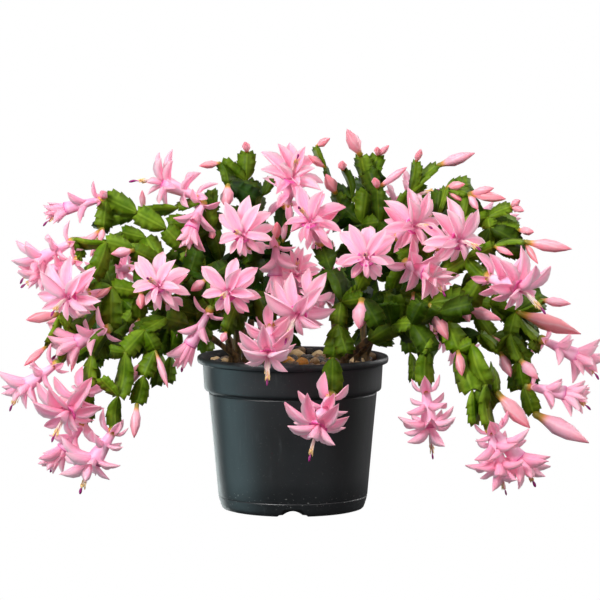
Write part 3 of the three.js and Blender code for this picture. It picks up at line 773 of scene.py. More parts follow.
def thread_shape(name, profile, count, droop, fold):
    """A thread that leaves along Y and droops towards -Z, with the thickness of a 1 mm thread."""
    thin = [(along, radius * THREAD_SHARE) for along, radius in profile]
    return spindle(name, thin, count, lambda along: fold, lambda along: -droop * along * along)


TUBE_KIND = spindle("tube", TUBE_PROFILE, 10, arched(0.04), arched(0.0), 0.1)
STAMEN_KINDS, STYLE_KINDS = [
    [thread_shape(f"{kind}_{k}", profile, count, droop, fold) for k, droop in enumerate(DROOPS)]
    for kind, profile, count, fold in [
        ("stamen", STAMEN_PROFILE, 4, 0.0), ("style", STYLE_PROFILE, 6, 0.15),
    ]
]
print("stamens and styles:", len(STAMEN_KINDS), "and", len(STYLE_KINDS))

# %% [markdown]
# ## Stones
#
# A pebble is a ball that was rolled flat. Each of five patterns is a squeezed ball of a few rings,
# pushed about by a smooth noise that is read at the point itself, so the same pattern comes out
# every time.

# %% Stone shapes
STONE_RINGS = 6
STONE_SIDES = 8
STONE_KINDS = 5
POLE = 0.06
LUMPS, LUMP_SIZE = 0.22, 1.3


def pebble_shape(name, flat, seed):
    rings = []
    for i in range(STONE_RINGS + 1):
        angle = math.pi * (POLE + (1 - 2 * POLE) * i / STONE_RINGS)
        ring = []
        for j in range(STONE_SIDES):
            turn = FULL_TURN * j / STONE_SIDES
            flat_part = math.sin(angle)
            way = Vector((flat_part * math.cos(turn), -math.cos(angle), flat_part * math.sin(turn)))
            lump = noise.noise(way * LUMP_SIZE + Vector((seed, 0, 0)))
            reach = 0.5 * (1 + LUMPS * lump)
            ring.append((way.x * reach, way.y * reach, way.z * reach * flat))
        rings.append(ring)
    return skin(name, rings, [j / STONE_SIDES for j in range(STONE_SIDES)])


PEBBLE_KINDS = [pebble_shape(f"pebble_{k}", 0.7 + 0.07 * k, 3.7 * k) for k in range(STONE_KINDS)]
print("stones:", len(PEBBLE_KINDS))

# %% [markdown]
# ## Copies, by Geometry Nodes
#
# Now the patterns can be set out. A list of places becomes a mesh of loose points, and each point
# carries which shape it takes, its turn, size, finish and shade. One tree serves them all. It
# picks the shape from a collection, sets it on the point, makes the copies real, since an exported
# file can't hold instances, and gives each finish to the faces that ask for it.

# %% The tree
FINISHES = 4


def copies_tree():
    tree = bpy.data.node_groups.new("copies", "GeometryNodeTree")
    sockets = [("Places", "Geometry"), ("Shapes", "Collection"), ("Size", "Float")]
    sockets += [(f"Finish {k}", "Material") for k in range(FINISHES)]
    for name, kind in sockets:
        tree.interface.new_socket(name, in_out="INPUT", socket_type="NodeSocket" + kind)
    tree.interface.new_socket("Copies", in_out="OUTPUT", socket_type="NodeSocketGeometry")
    outside = add_node(tree, "NodeGroupInput").outputs

    def node(kind, feeds, **settings):
        return add_node(tree, kind, settings, feeds).outputs[0]

    def read(name, kind):
        return node("GeometryNodeInputNamedAttribute", {"Name": name}, data_type=kind)

    made = node("GeometryNodeInstanceOnPoints", {
        "Points": outside["Places"],
        "Instance": node("GeometryNodeCollectionInfo", {
            "Collection": outside["Shapes"], "Separate Children": True, "Reset Children": True,
        }),
        "Pick Instance": True,
        "Instance Index": read("shape", "INT"),
        "Rotation": read("turn", "FLOAT_VECTOR"),
        "Scale": node("ShaderNodeVectorMath", {
            0: read("size", "FLOAT_VECTOR"), "Scale": outside["Size"],
        }, operation="SCALE"),
    })
    made = node("GeometryNodeRealizeInstances", {"Geometry": made})
    finish = read("finish", "INT")
    for k in range(FINISHES):
        feeds = {"A": finish, "B": k}
        same = node("FunctionNodeCompare", feeds, data_type="INT", operation="EQUAL")
        feeds = {"Geometry": made, "Selection": same, "Material": outside[f"Finish {k}"]}
        made = node("GeometryNodeSetMaterial", feeds)
    add_node(tree, "NodeGroupOutput", {}, [made])
    return tree


COPIES = copies_tree()
print("the tree has", len(COPIES.nodes), "nodes")

# %% Setting shapes out
# what a point carries: the attribute, its type, and the field that holds it
COPY_DATA = [
    ("shape", "INT", "value"), ("turn", "FLOAT_VECTOR", "vector"),
    ("size", "FLOAT_VECTOR", "vector"), ("finish", "INT", "value"), ("tone", "FLOAT", "value"),
]


def baked(piece):
    """The mesh that an object's modifiers make."""
    seen = piece.evaluated_get(bpy.context.evaluated_depsgraph_get())
    return bpy.data.meshes.new_from_object(seen)


class Places:
    """A growing list of copies: where each is, and its shape, turn, size, finish and shade."""

    def __init__(self, move, draw):
        self.move = move
        self.draw = draw
        self.rows = []

    def add(self, shape, middle, x, y, z, size, finish=0, tone=0.5):
        frame = Matrix((x, y, z)).transposed().to_4x4()
        frame.translation = middle
        frame = self.move @ frame
        share = frame.col[1].to_3d().length
        turn = frame.to_euler()
        self.rows.append((frame.translation, shape, turn, Vector(size) * share, finish, tone))

    def build(self, name, shapes, finishes):
        """The copies as one plain mesh object, which sits at the origin."""
        mesh = bpy.data.meshes.new(name + "_places")
        mesh.from_pydata([row[0] for row in self.rows], [], [])
        for column, (key, kind, field) in enumerate(COPY_DATA, 1):
            data = mesh.attributes.new(key, kind, "POINT").data
            for number, row in enumerate(self.rows):
                setattr(data[number], field, row[column])
        places = put(name + "_places", mesh)
        modifier = places.modifiers.new("copies", "NODES")
        modifier.node_group = COPIES
        inputs = {"Shapes": shapes, "Size": 1.0}
        for k in range(FINISHES):
            inputs[f"Finish {k}"] = finishes[min(k, len(finishes) - 1)]
        for item in COPIES.interface.items_tree:
            if item.name in inputs:
                modifier[item.identifier] = inputs[item.name]
        plain = baked(places)
        plain.name = name
        bpy.data.objects.remove(places)
        bpy.data.meshes.remove(mesh)
        return put(name, plain)


def settle(piece, slot, *nodes):
    """Hangs the piece on the root body and hides the parts it stands for; its slot is not used."""
    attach(piece, "root")
    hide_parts(*nodes)


print("a copy carries:", *(key for key, _, _ in COPY_DATA))

# %% [markdown]
# ## Finishes of the green parts
#
# A pad is dark green, with a soft gloss that is broken by a fine grain. The rib is paler, with a
# darker band on each side, and the margin and the neck are more yellow. The shade of the copy
# carries the age and painted shade together: 0 is dark, for an old pad deep in the plant where
# shade falls, and 1 is pale, for a young pad at the outside. The pattern runs along the pad's own
# map, so it turns with the pad.


# %% Pad, wood and bud
def pad_finish():
    s = Surface("pad_skin")
    along, across = s.along_and_across()
    # The tone is the pad's age and painted shade together: low deep in the plant, where shade
    # falls.
    age_and_shade = s.tone()
    # The rib, margin, neck and grain coats fade on dark pads, as part of the painted shade.
    fresh_and_lit = age_and_shade * 0.8 + 0.2
    from_rib = s.math("ABSOLUTE", across - 0.5) * 2.0
    blotch, fine = s.noise(60.0, 3.0), s.noise(420.0)
    # The dark greens stand for old pads and for painted shade deep in the plant; the pale ones for
    # young pads at the outside.
    old_and_shaded = s.mix(blotch.to(0.35, 0.7), (6, 32, 0), (26, 60, 0))
    young_and_lit = s.mix(blotch.to(0.3, 0.7), (84, 120, 2), (132, 162, 40))
    rib = (1 - from_rib.to(0.02, 0.12)) * (age_and_shade * 0.18 + 0.03)
    beside = from_rib.to(0.08, 0.16) * (1 - from_rib.to(0.16, 0.5)) * 0.3
    margin = from_rib.to(0.84, 1.0) * 0.35 * fresh_and_lit
    neck = (1 - along.to(0.0, 0.1)) * 0.5 * fresh_and_lit
    green = s.coats(
        s.mix(age_and_shade, old_and_shaded, young_and_lit), (rib, 144, 168, 50), (beside, 26, 50, 2), (margin, 122, 122, 22),
        (neck, 104, 100, 20), (fine.to(0.45, 0.8) * 0.15 * fresh_and_lit, 128, 154, 30))
    height = fine * 0.25 + blotch * 0.5 + (1 - from_rib.to(0.0, 0.22)) * 0.9
    return s.finish(green, 0.36 + fine * 0.12 + blotch * 0.1, (height, 0.0006, 0.5),
                    specular_ior_level=0.12)


def wood_finish():
    s = Surface("old_wood")
    grain = s.noise(260.0, 4.0, s.stretched(s.here(), (1.0, 1.0, 0.3)))
    bark = s.mix(grain.to(0.35, 0.7), (58, 44, 22), (124, 98, 54))
    bark = s.coats(bark, (s.noise(70.0).to(0.5, 0.7) * 0.6, 78, 82, 34))
    return s.finish(bark, 0.65 + grain * 0.2, (grain, 0.001, 0.7))


def bud_finish():
    s = Surface("bud_skin")
    along, across = s.along_and_across()
    streak = s.noise(180.0, 3.0)
    # Painted highlight: pale streaks down the bud's raised edges, where they would catch the light.
    ridge_highlight = s.math("PINGPONG", across * 8.0, 1.0)
    body = s.coats(
        s.mix(s.tone(), (246, 150, 156), (252, 184, 204)),
        (along.to(0.62, 1.0) * 0.75, 232, 104, 122), (ridge_highlight.to(0.5, 1.0) * 0.4, 255, 214, 222),
        (streak.to(0.45, 0.75) * 0.3, 244, 130, 150), (1 - along.to(0.14, 0.3), 214, 146, 62),
        (1 - along.to(0.08, 0.2), 140, 126, 24))
    return s.finish(body, 0.36 + streak * 0.12, (streak, 0.0006, 0.4), subsurface_weight=0.15,
                    subsurface_radius=(0.004, 0.002, 0.002), subsurface_scale=0.4)


STEM_FINISHES = [pad_finish(), wood_finish(), bud_finish()]
PAD_SKIN, OLD_WOOD, BUD_SKIN = range(3)
print("green finishes:", [finish.name for finish in STEM_FINISHES])

# %% [markdown]
# ## Where side shoots may grow
#
# A plant of this age is denser than its traced shoots. So short side shoots are tried at every
# joint, and one is kept only where the front view has green already: not in its white gaps, and
# not before a flower.

# %% The front view's gaps, shoots and flowers
# white between the shoots: across from, across to, down from, down to
WHITE_GAPS = [
    (219, 227, 237, 250), (251, 263, 257, 266), (284, 302, 238, 252), (299, 305, 260, 277),
    (316, 336, 236, 264), (342, 352, 286, 305), (286, 326, 318, 348), (198, 224, 337, 354),
    (368, 402, 334, 346), (483, 508, 344, 368), (120, 160, 180, 208), (0, 215, 360, 620),
    (385, 600, 440, 620), (200, 386, 362, 620), (328, 342, 130, 172), (334, 353, 130, 166),
    (421, 600, 130, 164), (440, 460, 130, 183), (200, 238, 130, 160), (258, 310, 130, 165),
    (388, 402, 130, 175), (396, 419, 342, 385), (453, 468, 385, 425), (424, 452, 168, 190),
    (150, 180, 352, 390), (150, 178, 208, 230), (208, 232, 170, 192), (314, 332, 147, 172),
    (340, 357, 160, 192), (88, 108, 236, 250),
]


def seen_at(point):
    """Where the front view shows a point: steps across and down."""
    ray = point - EYE
    ahead = ray.y * math.cos(VIEW_PITCH) - ray.z * math.sin(VIEW_PITCH)
    up = ray.y * math.sin(VIEW_PITCH) + ray.z * math.cos(VIEW_PITCH)
    return VIEW_MIDDLE + VIEW_STEPS * ray.x / ahead, VIEW_MIDDLE - VIEW_STEPS * up / ahead


TRACED_SEEN = [
    (*seen_at(a), *seen_at(b))
    for shoots in GROWN.values() for points, _, _ in shoots for a, b in zip(points, points[1:])
]
FLOWERS_SEEN = []
for name, stem in STEMS.items():
    for x1, y1, x2, y2, *_ in stem["flowers"]:
        depth = nearest_joint(GROWN[name], x1, y1).y
        FLOWERS_SEEN.append(((x1 + x2) / 2, (y1 + y2) / 2, depth + 10 * MM))
print("traced pads:", len(TRACED_SEEN), "flowers:", len(FLOWERS_SEEN))

# %% Side shoots
NEAR_ENOUGH = 10
FLOWER_ROOM = 30
POT_RADIUS = 100 * MM
POT_HEIGHT = 158 * MM
SIDE_TRIES = 3
SIDE_PADS = (1, 2, 2, 3)
SIDE_LENGTHS = (0.8, 1.05)
SIDE_ANGLES = (18, 75)
TO_THE_BACK = (0.1, 0.8)
DRAG = Vector((0, 0, -0.14))
CHECKED_AT = (0.35, 0.7, 1.0)


def from_line(x, y, x1, y1, x2, y2):
    """How far a place is from a line between two others."""
    length = max(1e-9, (x2 - x1) ** 2 + (y2 - y1) ** 2)
    share = min(1.0, max(0.0, ((x - x1) * (x2 - x1) + (y - y1) * (y2 - y1)) / length))
    return math.hypot(x - x1 - share * (x2 - x1), y - y1 - share * (y2 - y1))


def may_grow(point):
    """Out of the white gaps, the pot and the flowers, and near to the shoots that are traced."""
    across, down = seen_at(point)
    if any(a < across < b and c < down < d for a, b, c, d in WHITE_GAPS):
        return False
    if math.hypot(point.x, point.y) < POT_RADIUS and point.z < POT_HEIGHT:
        return False
    for x, y, depth in FLOWERS_SEEN:
        if point.y < depth and math.hypot(across - x, down - y) < FLOWER_ROOM:
            return False
    return min(from_line(across, down, *line) for line in TRACED_SEEN) < NEAR_ENOUGH


def side_shoot(before, joint, move, draw):
    """A chain of joints that leaves a shoot at a joint, for as far as it may grow."""
    turn = math.radians(draw.choice((-1, 1)) * draw.uniform(*SIDE_ANGLES))
    way = Matrix.Rotation(turn, 3, "Y") @ (joint - before).normalized()
    way.y += draw.uniform(*TO_THE_BACK)
    chain = [joint]
    for _ in range(draw.choice(SIDE_PADS)):
        way = (way + DRAG).normalized()
        end = chain[-1] + way * (PAD_LENGTH * draw.uniform(*SIDE_LENGTHS))
        on_the_way = [chain[-1].lerp(end, share) for share in CHECKED_AT]
        if not all(may_grow(move @ point) for point in on_the_way):
            break
        chain.append(end)
    return chain


def side_shoots(shoots, move, draw):
    """Short shoots of one to three pads, tried at every joint over the soil."""
    chains = [
        side_shoot(points[k - 1], points[k], move, draw)
        for points, _, rooted in shoots for k in range(1 + rooted, len(points))
        for _ in range(SIDE_TRIES)
    ]
    return [chain for chain in chains if len(chain) > 1]


print("side shoots are tried", SIDE_TRIES, "times at each joint")

# %% [markdown]
# ## Setting out the stems
#
# Each stem becomes one piece: its pads, its old wood and its buds. A pad runs from one joint to
# the next, and the piece stands for the stem of the imported model, which had plain blades in the
# same places. The farther a pad is from the plant's middle, the younger and paler it is: partly
# age, and partly painted shade, darker where shade falls inside the plant. The side shoots are
# painted darker still, as painted shade for the little light that reaches them.

# %% Stems
PLANT_MIDDLE = Vector((0, 20, 190)) * MM
OPEN_AIR = 230 * MM
STEM_SHAPES = family("stem_shapes", PAD_KINDS + WOOD_KINDS + BUD_KINDS)
STEM_ORDER = sorted(shape.name for shape in STEM_SHAPES.objects)
WOOD_WIDTH = 8.4 * MM
ROOT_DEPTH = Vector((0, 0, 9 * MM))
ROOT_STANDS = Vector((0, 0, 2 * MM))
OVERLAP = 1.03
ROOTED_WIDTH = 0.85
WOOD_TWISTS, BUD_TWISTS = 1, 0.5
BUD_LEANS = 12
TONE_VARIES = (-0.15, 0.25)
# How pale a pad may be painted at the outside; side shoots less, as painted shade.
BRIGHTEST, BRIGHTEST_SIDE_SHOOT = 0.75, 0.35


def pick(kinds, draw):
    return STEM_ORDER.index(draw.choice(kinds).name)


def add_round(places, kinds, start, end, width, grown, twist, finish):
    """A stick or a bud from one point to another, turned at random about its length."""
    along = end - start
    length = along.length * grown
    along.normalize()
    side, face = frame_of(along, places.draw.uniform(-twist, twist))
    places.add(pick(kinds, places.draw), start, side, along, face, (width, length, width), finish,
               places.draw.random())


def add_wood(places, start, end, width):
    add_round(places, WOOD_KINDS, start, end, width, OVERLAP, WOOD_TWISTS, OLD_WOOD)


def add_bud(places, shoots, across, down, tip_across, tip_down, width):
    joint = nearest_joint(shoots, across, down)
    tip = place(tip_across, tip_down, joint.y / MM - BUD_LEANS)
    add_round(places, BUD_KINDS, joint, tip, width * MM, 1, BUD_TWISTS, BUD_SKIN)


def youth_and_painted_light(point):
    """Age and painted shade: 0 in the plant's middle, old and in shade, and 1 at its outside."""
    return min(1.0, (point - PLANT_MIDDLE).length / OPEN_AIR) ** 2


def add_shoot(places, points, seen, rooted, brightest=BRIGHTEST):
    """Pads from joint to joint, each with its sides where the one before has them."""
    before = None
    for k, width_seen in enumerate(seen):
        start, end = points[k], points[k + 1]
        if rooted and k == 0:
            add_wood(places, start, end, WOOD_WIDTH * ROOTED_WIDTH)
            continue
        along, side, face, length, width = pad_of(start, end, width_seen, k + len(points))
        if before and before.dot(side) < 0:
            side, face = -side, -face
        before = side
        # The tone: age and painted shade, darker towards the plant's middle, with a random part.
        tone = youth_and_painted_light(places.move @ end) * brightest + places.draw.uniform(*TONE_VARIES)
        places.add(pick(PAD_KINDS, places.draw), start, side, along, face,
                   (width, length * OVERLAP, length), PAD_SKIN, min(1.0, max(0.0, tone)))


def stem_places(stem, move, draw):
    places = Places(move, draw)
    shoots = grow(stem["shoot"] + stem["small"])
    foot = shoots[0][0][0]
    add_wood(places, foot - ROOT_DEPTH, foot + ROOT_STANDS, WOOD_WIDTH)
    for points, seen, rooted in shoots:
        add_shoot(places, points, seen, rooted)
    for points in side_shoots(shoots, move, draw):
        add_shoot(places, points, [None] * (len(points) - 1), False, BRIGHTEST_SIDE_SHOOT)
    for row in stem["buds"]:
        add_bud(places, shoots, *row)
    return places


draw = random.Random(1225)
for name, of, move, _ in PLANTS:
    piece = stem_places(STEMS[of], move, draw).build("shoots_" + name, STEM_SHAPES, STEM_FINISHES)
    settle(piece, "stem", "stem_" + name)
print("stems:", len(PLANTS))

# %% [markdown]
# ## Finishes of the flower
#
# A petal is pale pink, pinker at its tip and along the crease in its middle, nearly white at its
# edges, and magenta where it goes into the throat. Fine pale lines run its length. Petals are so
# thin that light comes through: some of it is made by scattering under the skin, and the rest by a
# little glow in the petal's own colour, which keeps the shaded side pink.

# %% Petal, tube, thread, style
PETAL_GLOW = 0.15


def petal_finish():
    s = Surface("petal_skin")
    along, across = s.along_and_across()
    tone = s.tone()
    from_middle = s.math("ABSOLUTE", across - 0.5) * 2.0
    soft = s.noise(45.0)
    line = s.node("ShaderNodeTexNoise", {"noise_dimensions": "2D"}, {
        "Vector": s.stretched(s.own_map(), (16.0, 1.2, 1.0)), "Scale": 1.0, "Detail": 3.0,
    })
    blade = s.mix(tone, (244, 142, 176), (250, 177, 200))
    tip = s.mix(tone, (236, 118, 144), (250, 194, 206))
    pink = s.coats(
        s.mix(along.to(0.4, 1.0) * (0.5 + soft * 0.6), blade, tip),
        (from_middle.to(0.7, 1.0) * 0.35, 254, 214, 224),
        ((1 - from_middle.to(0.0, 0.16)) * 0.3, 240, 124, 176),
        (line.to(0.5, 0.75) * 0.3, 254, 206, 222), ((1 - along.to(0.0, 0.2)) * 0.5, 240, 110, 178))
    return s.finish(pink, 0.5 + soft * 0.15, (line, 0.0005, 0.35), subsurface_weight=0.35,
                    subsurface_radius=(0.008, 0.004, 0.005), subsurface_scale=0.6,
                    specular_ior_level=0.12, emission_color=pink, emission_strength=PETAL_GLOW)


def tube_finish():
    s = Surface("tube_skin")
    along, _ = s.along_and_across()
    soft = s.noise(90.0)
    tube = s.coats(
        s.mix(soft.to(0.3, 0.7), (248, 166, 204), (254, 204, 226)),
        (1 - along.to(0.14, 0.26), 196, 150, 62), (1 - along.to(0.03, 0.12), 118, 134, 40),
        (along.to(0.9, 0.96) * 0.5, 240, 110, 184), (along.to(0.97, 0.995) * 0.8, 222, 50, 156))
    return s.finish(tube, 0.42 + soft * 0.12, (soft, 0.0006, 0.4))


def thread_finish():
    s = Surface("stamen_skin")
    along, _ = s.along_and_across()
    grain = s.noise(900.0, 1.0)
    anther = s.mix(grain, (234, 186, 100), (254, 226, 168))
    thread = s.mix(along.to(0.1, 0.6), (244, 150, 196), (255, 236, 226))
    thread = s.mix(along.to(0.84, 0.88), thread, anther)
    return s.finish(thread, 0.55 + grain * 0.2, (grain, 0.0003, 0.4))


def style_finish():
    s = Surface("style_skin")
    along, _ = s.along_and_across()
    grain = s.noise(700.0, 1.0)
    rod = s.mix(along.to(0.8, 0.88), (244, 150, 196), (140, 0, 104))
    rod = s.coats(rod, (grain.to(0.4, 0.7) * 0.25, 200, 50, 150))
    return s.finish(rod, 0.35 + grain * 0.15, (grain, 0.0003, 0.3))


FLOWER_FINISHES = [petal_finish(), tube_finish(), thread_finish(), style_finish()]
PETAL_SKIN, TUBE_SKIN, THREAD_SKIN, STYLE_SKIN = range(4)
print("flower finishes:", [finish.name for finish in FLOWER_FINISHES])

# %% [markdown]
# ## Setting out the flowers
#
# The flower looks as if one grew out of another: a whorl of short petals near the ovary, bent
# right back, a second half-way along the tube, and two at the mouth, one behind the other. An
# opening flower holds its petals along the tube, and an old one bends them back, so the list gives
# each its openness from 0 to 1. The lower petals open wider and are shorter than the upper ones,
# which gives the flower a face that looks forward even where it hangs.

# %% Flowers
FLOWER_SHAPES = family("flower_shapes", PETAL_KINDS + [TUBE_KIND] + STAMEN_KINDS + STYLE_KINDS)
FLOWER_ORDER = sorted(shape.name for shape in FLOWER_SHAPES.objects)
FLOWER_LENGTH = 44 * MM
LONGER_AT_MOST = 40 * MM
TUBE_WIDTH = 9 * MM
MOUTH_AT = 0.9
# along the tube, petals, opening when shut and when open in degrees, petal when shut and when open,
# length, width, and how far from the axis its foot stands
WHORLS = [
    (0.14, 4, 62, 98, 2, 3, 24, 11.0, 2.2),
    (0.40, 4, 26, 80, 1, 2, 31, 12.5, 2.6),
    (0.76, 8, 9, 78, 0, 2, 36, 13.5, 3.2),
    (0.88, 5, 4, 58, 0, 1, 33, 12.5, 2.8),
]
LOWER_SIDE_OPENS = 26
LOWER_SIDE_SHORTER = 0.52
OWN_SHADES = (0.15, 0.85)
PALER_WHORLS = 0.06
PETAL_SWAYS = (-8, 8)
PETAL_GROWTHS = (0.9, 1.08)
NEARLY_UPRIGHT = 0.25
DROOPS_BY = (1.6, 3.4)
STYLE_ROOT, STAMEN_ROOT = 0.3, 0.2
STYLE_LENGTH = 27 * MM
STAMEN_LENGTHS = (24, 31)
STAMENS_SPREAD = (0.0, 0.07)
STAMENS_STAND = (0.2, 1.2)
STYLE_THICKNESS = 0.5 * MM / THREAD_SHARE
STAMEN_THICKNESS = 0.3 * MM / THREAD_SHARE
STAMENS = 20


def flower_frame(shoots, across, down, mouth_across, mouth_down, size):
    """The flower's base, its axis and its length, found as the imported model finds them."""
    base = nearest_joint(shoots, across, down)
    flat = place(mouth_across, mouth_down, base.y / MM) - base
    reach = math.hypot(flat.x, flat.z)
    length = min(max(FLOWER_LENGTH * math.sqrt(size), reach), reach + LONGER_AT_MOST)
    depth = base.y - math.sqrt(length * length - reach * reach)
    along = (place(mouth_across, mouth_down, depth / MM) - base).normalized()
    return base, along, length


def upper_side(axis):
    """At right angles to the axis, as near to straight up as it can be."""
    up = Vector((0, 0, 1)) - axis * axis.z
    if up.length < NEARLY_UPRIGHT:
        up = Vector((0, -1, 0)) + axis * axis.y
    return up.normalized()


def add_whorls(places, base, axis, side, face, length, size, openness):
    """The tube and the four whorls of petals along it."""
    draw = places.draw
    own_shade = draw.uniform(*OWN_SHADES)
    broad = TUBE_WIDTH * size
    places.add(FLOWER_ORDER.index("tube"), base, side, axis, face,
               (broad, length * MOUTH_AT, broad), TUBE_SKIN, draw.random())
    for number, (share, count, shut, wide, first, last, reach, across, away) in enumerate(WHORLS):
        start = math.pi / 2 + math.pi * (number % 2) / count
        for k in range(count):
            around = start + FULL_TURN * (k + draw.uniform(-0.15, 0.15)) / count
            out = side * math.cos(around) + face * math.sin(around)
            lower = (1 - math.sin(around)) / 2
            opening = shut + (wide - shut) * openness + LOWER_SIDE_OPENS * lower * openness
            turn = math.radians(opening + draw.uniform(*PETAL_SWAYS))
            kind = round(first + (last - first) * openness + draw.uniform(-0.6, 0.6))
            kind = min(len(PETAL_KINDS) - 1, max(0, kind))
            grown = size * draw.uniform(*PETAL_GROWTHS) * MM
            grown *= 1 - LOWER_SIDE_SHORTER * lower * openness
            tone = own_shade + draw.uniform(-0.25, 0.25) + PALER_WHORLS * number
            tone = min(1.0, max(0.0, tone))
            foot = base + axis * (length * share) + out * (away * MM * size)
            way = axis * math.cos(turn) + out * math.sin(turn)
            inner = axis * math.sin(turn) - out * math.cos(turn)
            places.add(FLOWER_ORDER.index(f"petal_{kind}"), foot, way.cross(inner), way, inner,
                       (across * grown, reach * grown, reach * grown), PETAL_SKIN, tone)


def add_threads(places, base, axis, side, face, length, size):
    """The style and the stamens, which droop more where the flower lies level."""
    draw = places.draw
    mouth = base + axis * length
    level = math.hypot(axis.x, axis.y)
    droop = min(len(DROOPS) - 1, int(level * draw.uniform(*DROOPS_BY)))
    rod = STYLE_LENGTH * size + STYLE_ROOT * length
    places.add(FLOWER_ORDER.index(f"style_{droop}"), mouth - axis * (STYLE_ROOT * length), side,
               axis, face, (STYLE_THICKNESS, rod, rod), STYLE_SKIN)
    for _ in range(STAMENS):
        around = draw.uniform(0, FULL_TURN)
        out = side * math.cos(around) + face * math.sin(around)
        way = (axis + out * draw.uniform(*STAMENS_SPREAD)).normalized()
        across = way.cross(face).normalized()
        foot = mouth - axis * (STAMEN_ROOT * length) + out * draw.uniform(*STAMENS_STAND) * MM
        reach = size * draw.uniform(*STAMEN_LENGTHS) * MM
        places.add(FLOWER_ORDER.index(f"stamen_{droop}"), foot, across, way, across.cross(way),
                   (STAMEN_THICKNESS, reach, reach), THREAD_SKIN, draw.random())


draw = random.Random(42)
blooms = [(of, move, k) for _, of, move, kept in PLANTS for k in kept]
for number, (of, move, k) in enumerate(blooms, 1):
    *row, openness = STEMS[of]["flowers"][k]
    base, axis, length = flower_frame(GROWN[of], *row)
    face = upper_side(axis)
    side = axis.cross(face)
    places = Places(move, draw)
    add_whorls(places, base, axis, side, face, length, row[-1], openness)
    add_threads(places, base, axis, side, face, length, row[-1])
    piece = places.build(f"bloom_{number:02d}", FLOWER_SHAPES, FLOWER_FINISHES)
    settle(piece, "petal", f"flower_{number:02d}")
print("flowers:", len(blooms))

# %% [markdown]
# ## The pot
#
# The pot is a moulded tub of black plastic. It is a turned shape, so its profile is drawn once, up
# the outside, over the rim and down the inside, and swept round. A mould leaves everything
# slightly rounded, and so does the profile. The pot stands on a ring at its edge and a small hub
# in its middle. Six holes in the raised floor drain the mix, and four notches in the ring let the
# water out.

# %% The pot's shape
POT_TURNS = 128
POT_PROFILE = [
    (0, 0), (8.4, 0), (9.4, 0.5), (11.6, 7.4), (12.8, 8), (57, 8), (58.4, 7.4), (59.8, 0.6),
    (61, 0), (68.2, 0), (70.6, 0.7), (72.2, 2.4), (73.0, 5), (74.0, 9), (74.9, 12.6), (74.6, 13.4),
    (75.2, 14.6), (77.0, 35), (78.7, 54), (80.7, 77), (82.8, 99), (84.2, 113.5), (84.5, 116.4),
    (84.0, 117.4), (84.4, 118.4), (86.2, 119.2), (88.0, 119.9), (88.9, 121.0), (89.2, 122.8),
    (89.6, 130), (90.4, 144.6), (90.7, 146.0), (91.5, 146.8), (94.2, 147.0), (95.4, 147.6),
    (95.9, 148.8), (96.2, 150.6), (96.0, 152.4), (95.2, 153.6), (94.0, 154), (92.6, 153.9),
    (91.2, 153.2), (90.1, 151.8), (89.4, 149), (88.8, 143), (88.0, 130), (87.5, 122.6),
    (83.6, 119.8), (82.8, 113), (81.2, 99), (79.1, 77), (77.1, 54), (75.4, 35), (73.4, 16),
    (71.6, 11.6), (69.5, 11), (10.6, 11), (9.4, 10.2), (6.8, 3.6), (5.6, 3), (0, 3),
]
NOTCHES = 4
NOTCH_NEAR, NOTCH_FAR = -82, -59
NOTCH_OUTLINE = [
    (-16.5, -1), (16.5, -1), (15.6, 0), (14.6, 0.8), (9.0, 7.2), (7.5, 8), (-7.5, 8), (-9.0, 7.2),
    (-14.6, 0.8), (-15.6, 0),
]
HOLES = 6
HOLE_MIDDLE = Vector((0, 34.5 * MM, 9 * MM))
HOLE_RADIUS = 4 * MM
HOLE_DEPTH = 14 * MM
POT_CREASE = math.radians(32)


def to_object(made, name):
    """A bmesh as an object in the scene, with its faces outwards."""
    bmesh.ops.recalc_face_normals(made, faces=made.faces)
    mesh = bpy.data.meshes.new(name)
    made.to_mesh(mesh)
    made.free()
    return put(name, mesh)


def turned(name, profile, turns):
    """A profile swept round Z, with its poles merged to one point."""
    made = bmesh.new()
    rings = []
    for radius, height in profile:
        steps = [FULL_TURN * k / turns for k in range(turns if radius else 1)]
        ring = [(radius * MM * math.cos(a), radius * MM * math.sin(a), height * MM) for a in steps]
        rings.append([made.verts.new(point) for point in ring])
    for low, high in zip(rings, rings[1:]):
        for k in range(turns):
            n = (k + 1) % turns
            corners = [(low, k), (low, n), (high, n), (high, k)]
            made.faces.new(dict.fromkeys(ring[spot % len(ring)] for ring, spot in corners))
    return to_object(made, name)


def cutters():
    """Four wedges for the notches and six round bars for the drain holes, in one mesh."""
    made = bmesh.new()
    for k in range(NOTCHES):
        turn = Matrix.Rotation(FULL_TURN * k / NOTCHES, 4, "Z")
        near, far = [
            [made.verts.new(turn @ Vector((x * MM, y * MM, z * MM))) for x, z in NOTCH_OUTLINE]
            for y in (NOTCH_NEAR, NOTCH_FAR)
        ]
        made.faces.new(near)
        made.faces.new(list(reversed(far)))
        for i in range(len(near)):
            n = (i + 1) % len(near)
            made.faces.new((near[i], near[n], far[n], far[i]))
    for k in range(HOLES):
        turn = Matrix.Rotation(FULL_TURN * (k + 0.5) / HOLES, 4, "Z")
        bmesh.ops.create_cone(made, cap_ends=True, segments=20, radius1=HOLE_RADIUS,
                              radius2=HOLE_RADIUS, depth=HOLE_DEPTH,
                              matrix=turn @ Matrix.Translation(HOLE_MIDDLE))
    return to_object(made, "cutters")


def cut_away(piece, tool):
    modifier = piece.modifiers.new("cut", "BOOLEAN")
    modifier.object = tool
    modifier.operation = "DIFFERENCE"
    modifier.solver = "EXACT"
    mesh = baked(piece)
    piece.modifiers.clear()
    piece.data = mesh
    bpy.data.objects.remove(tool)


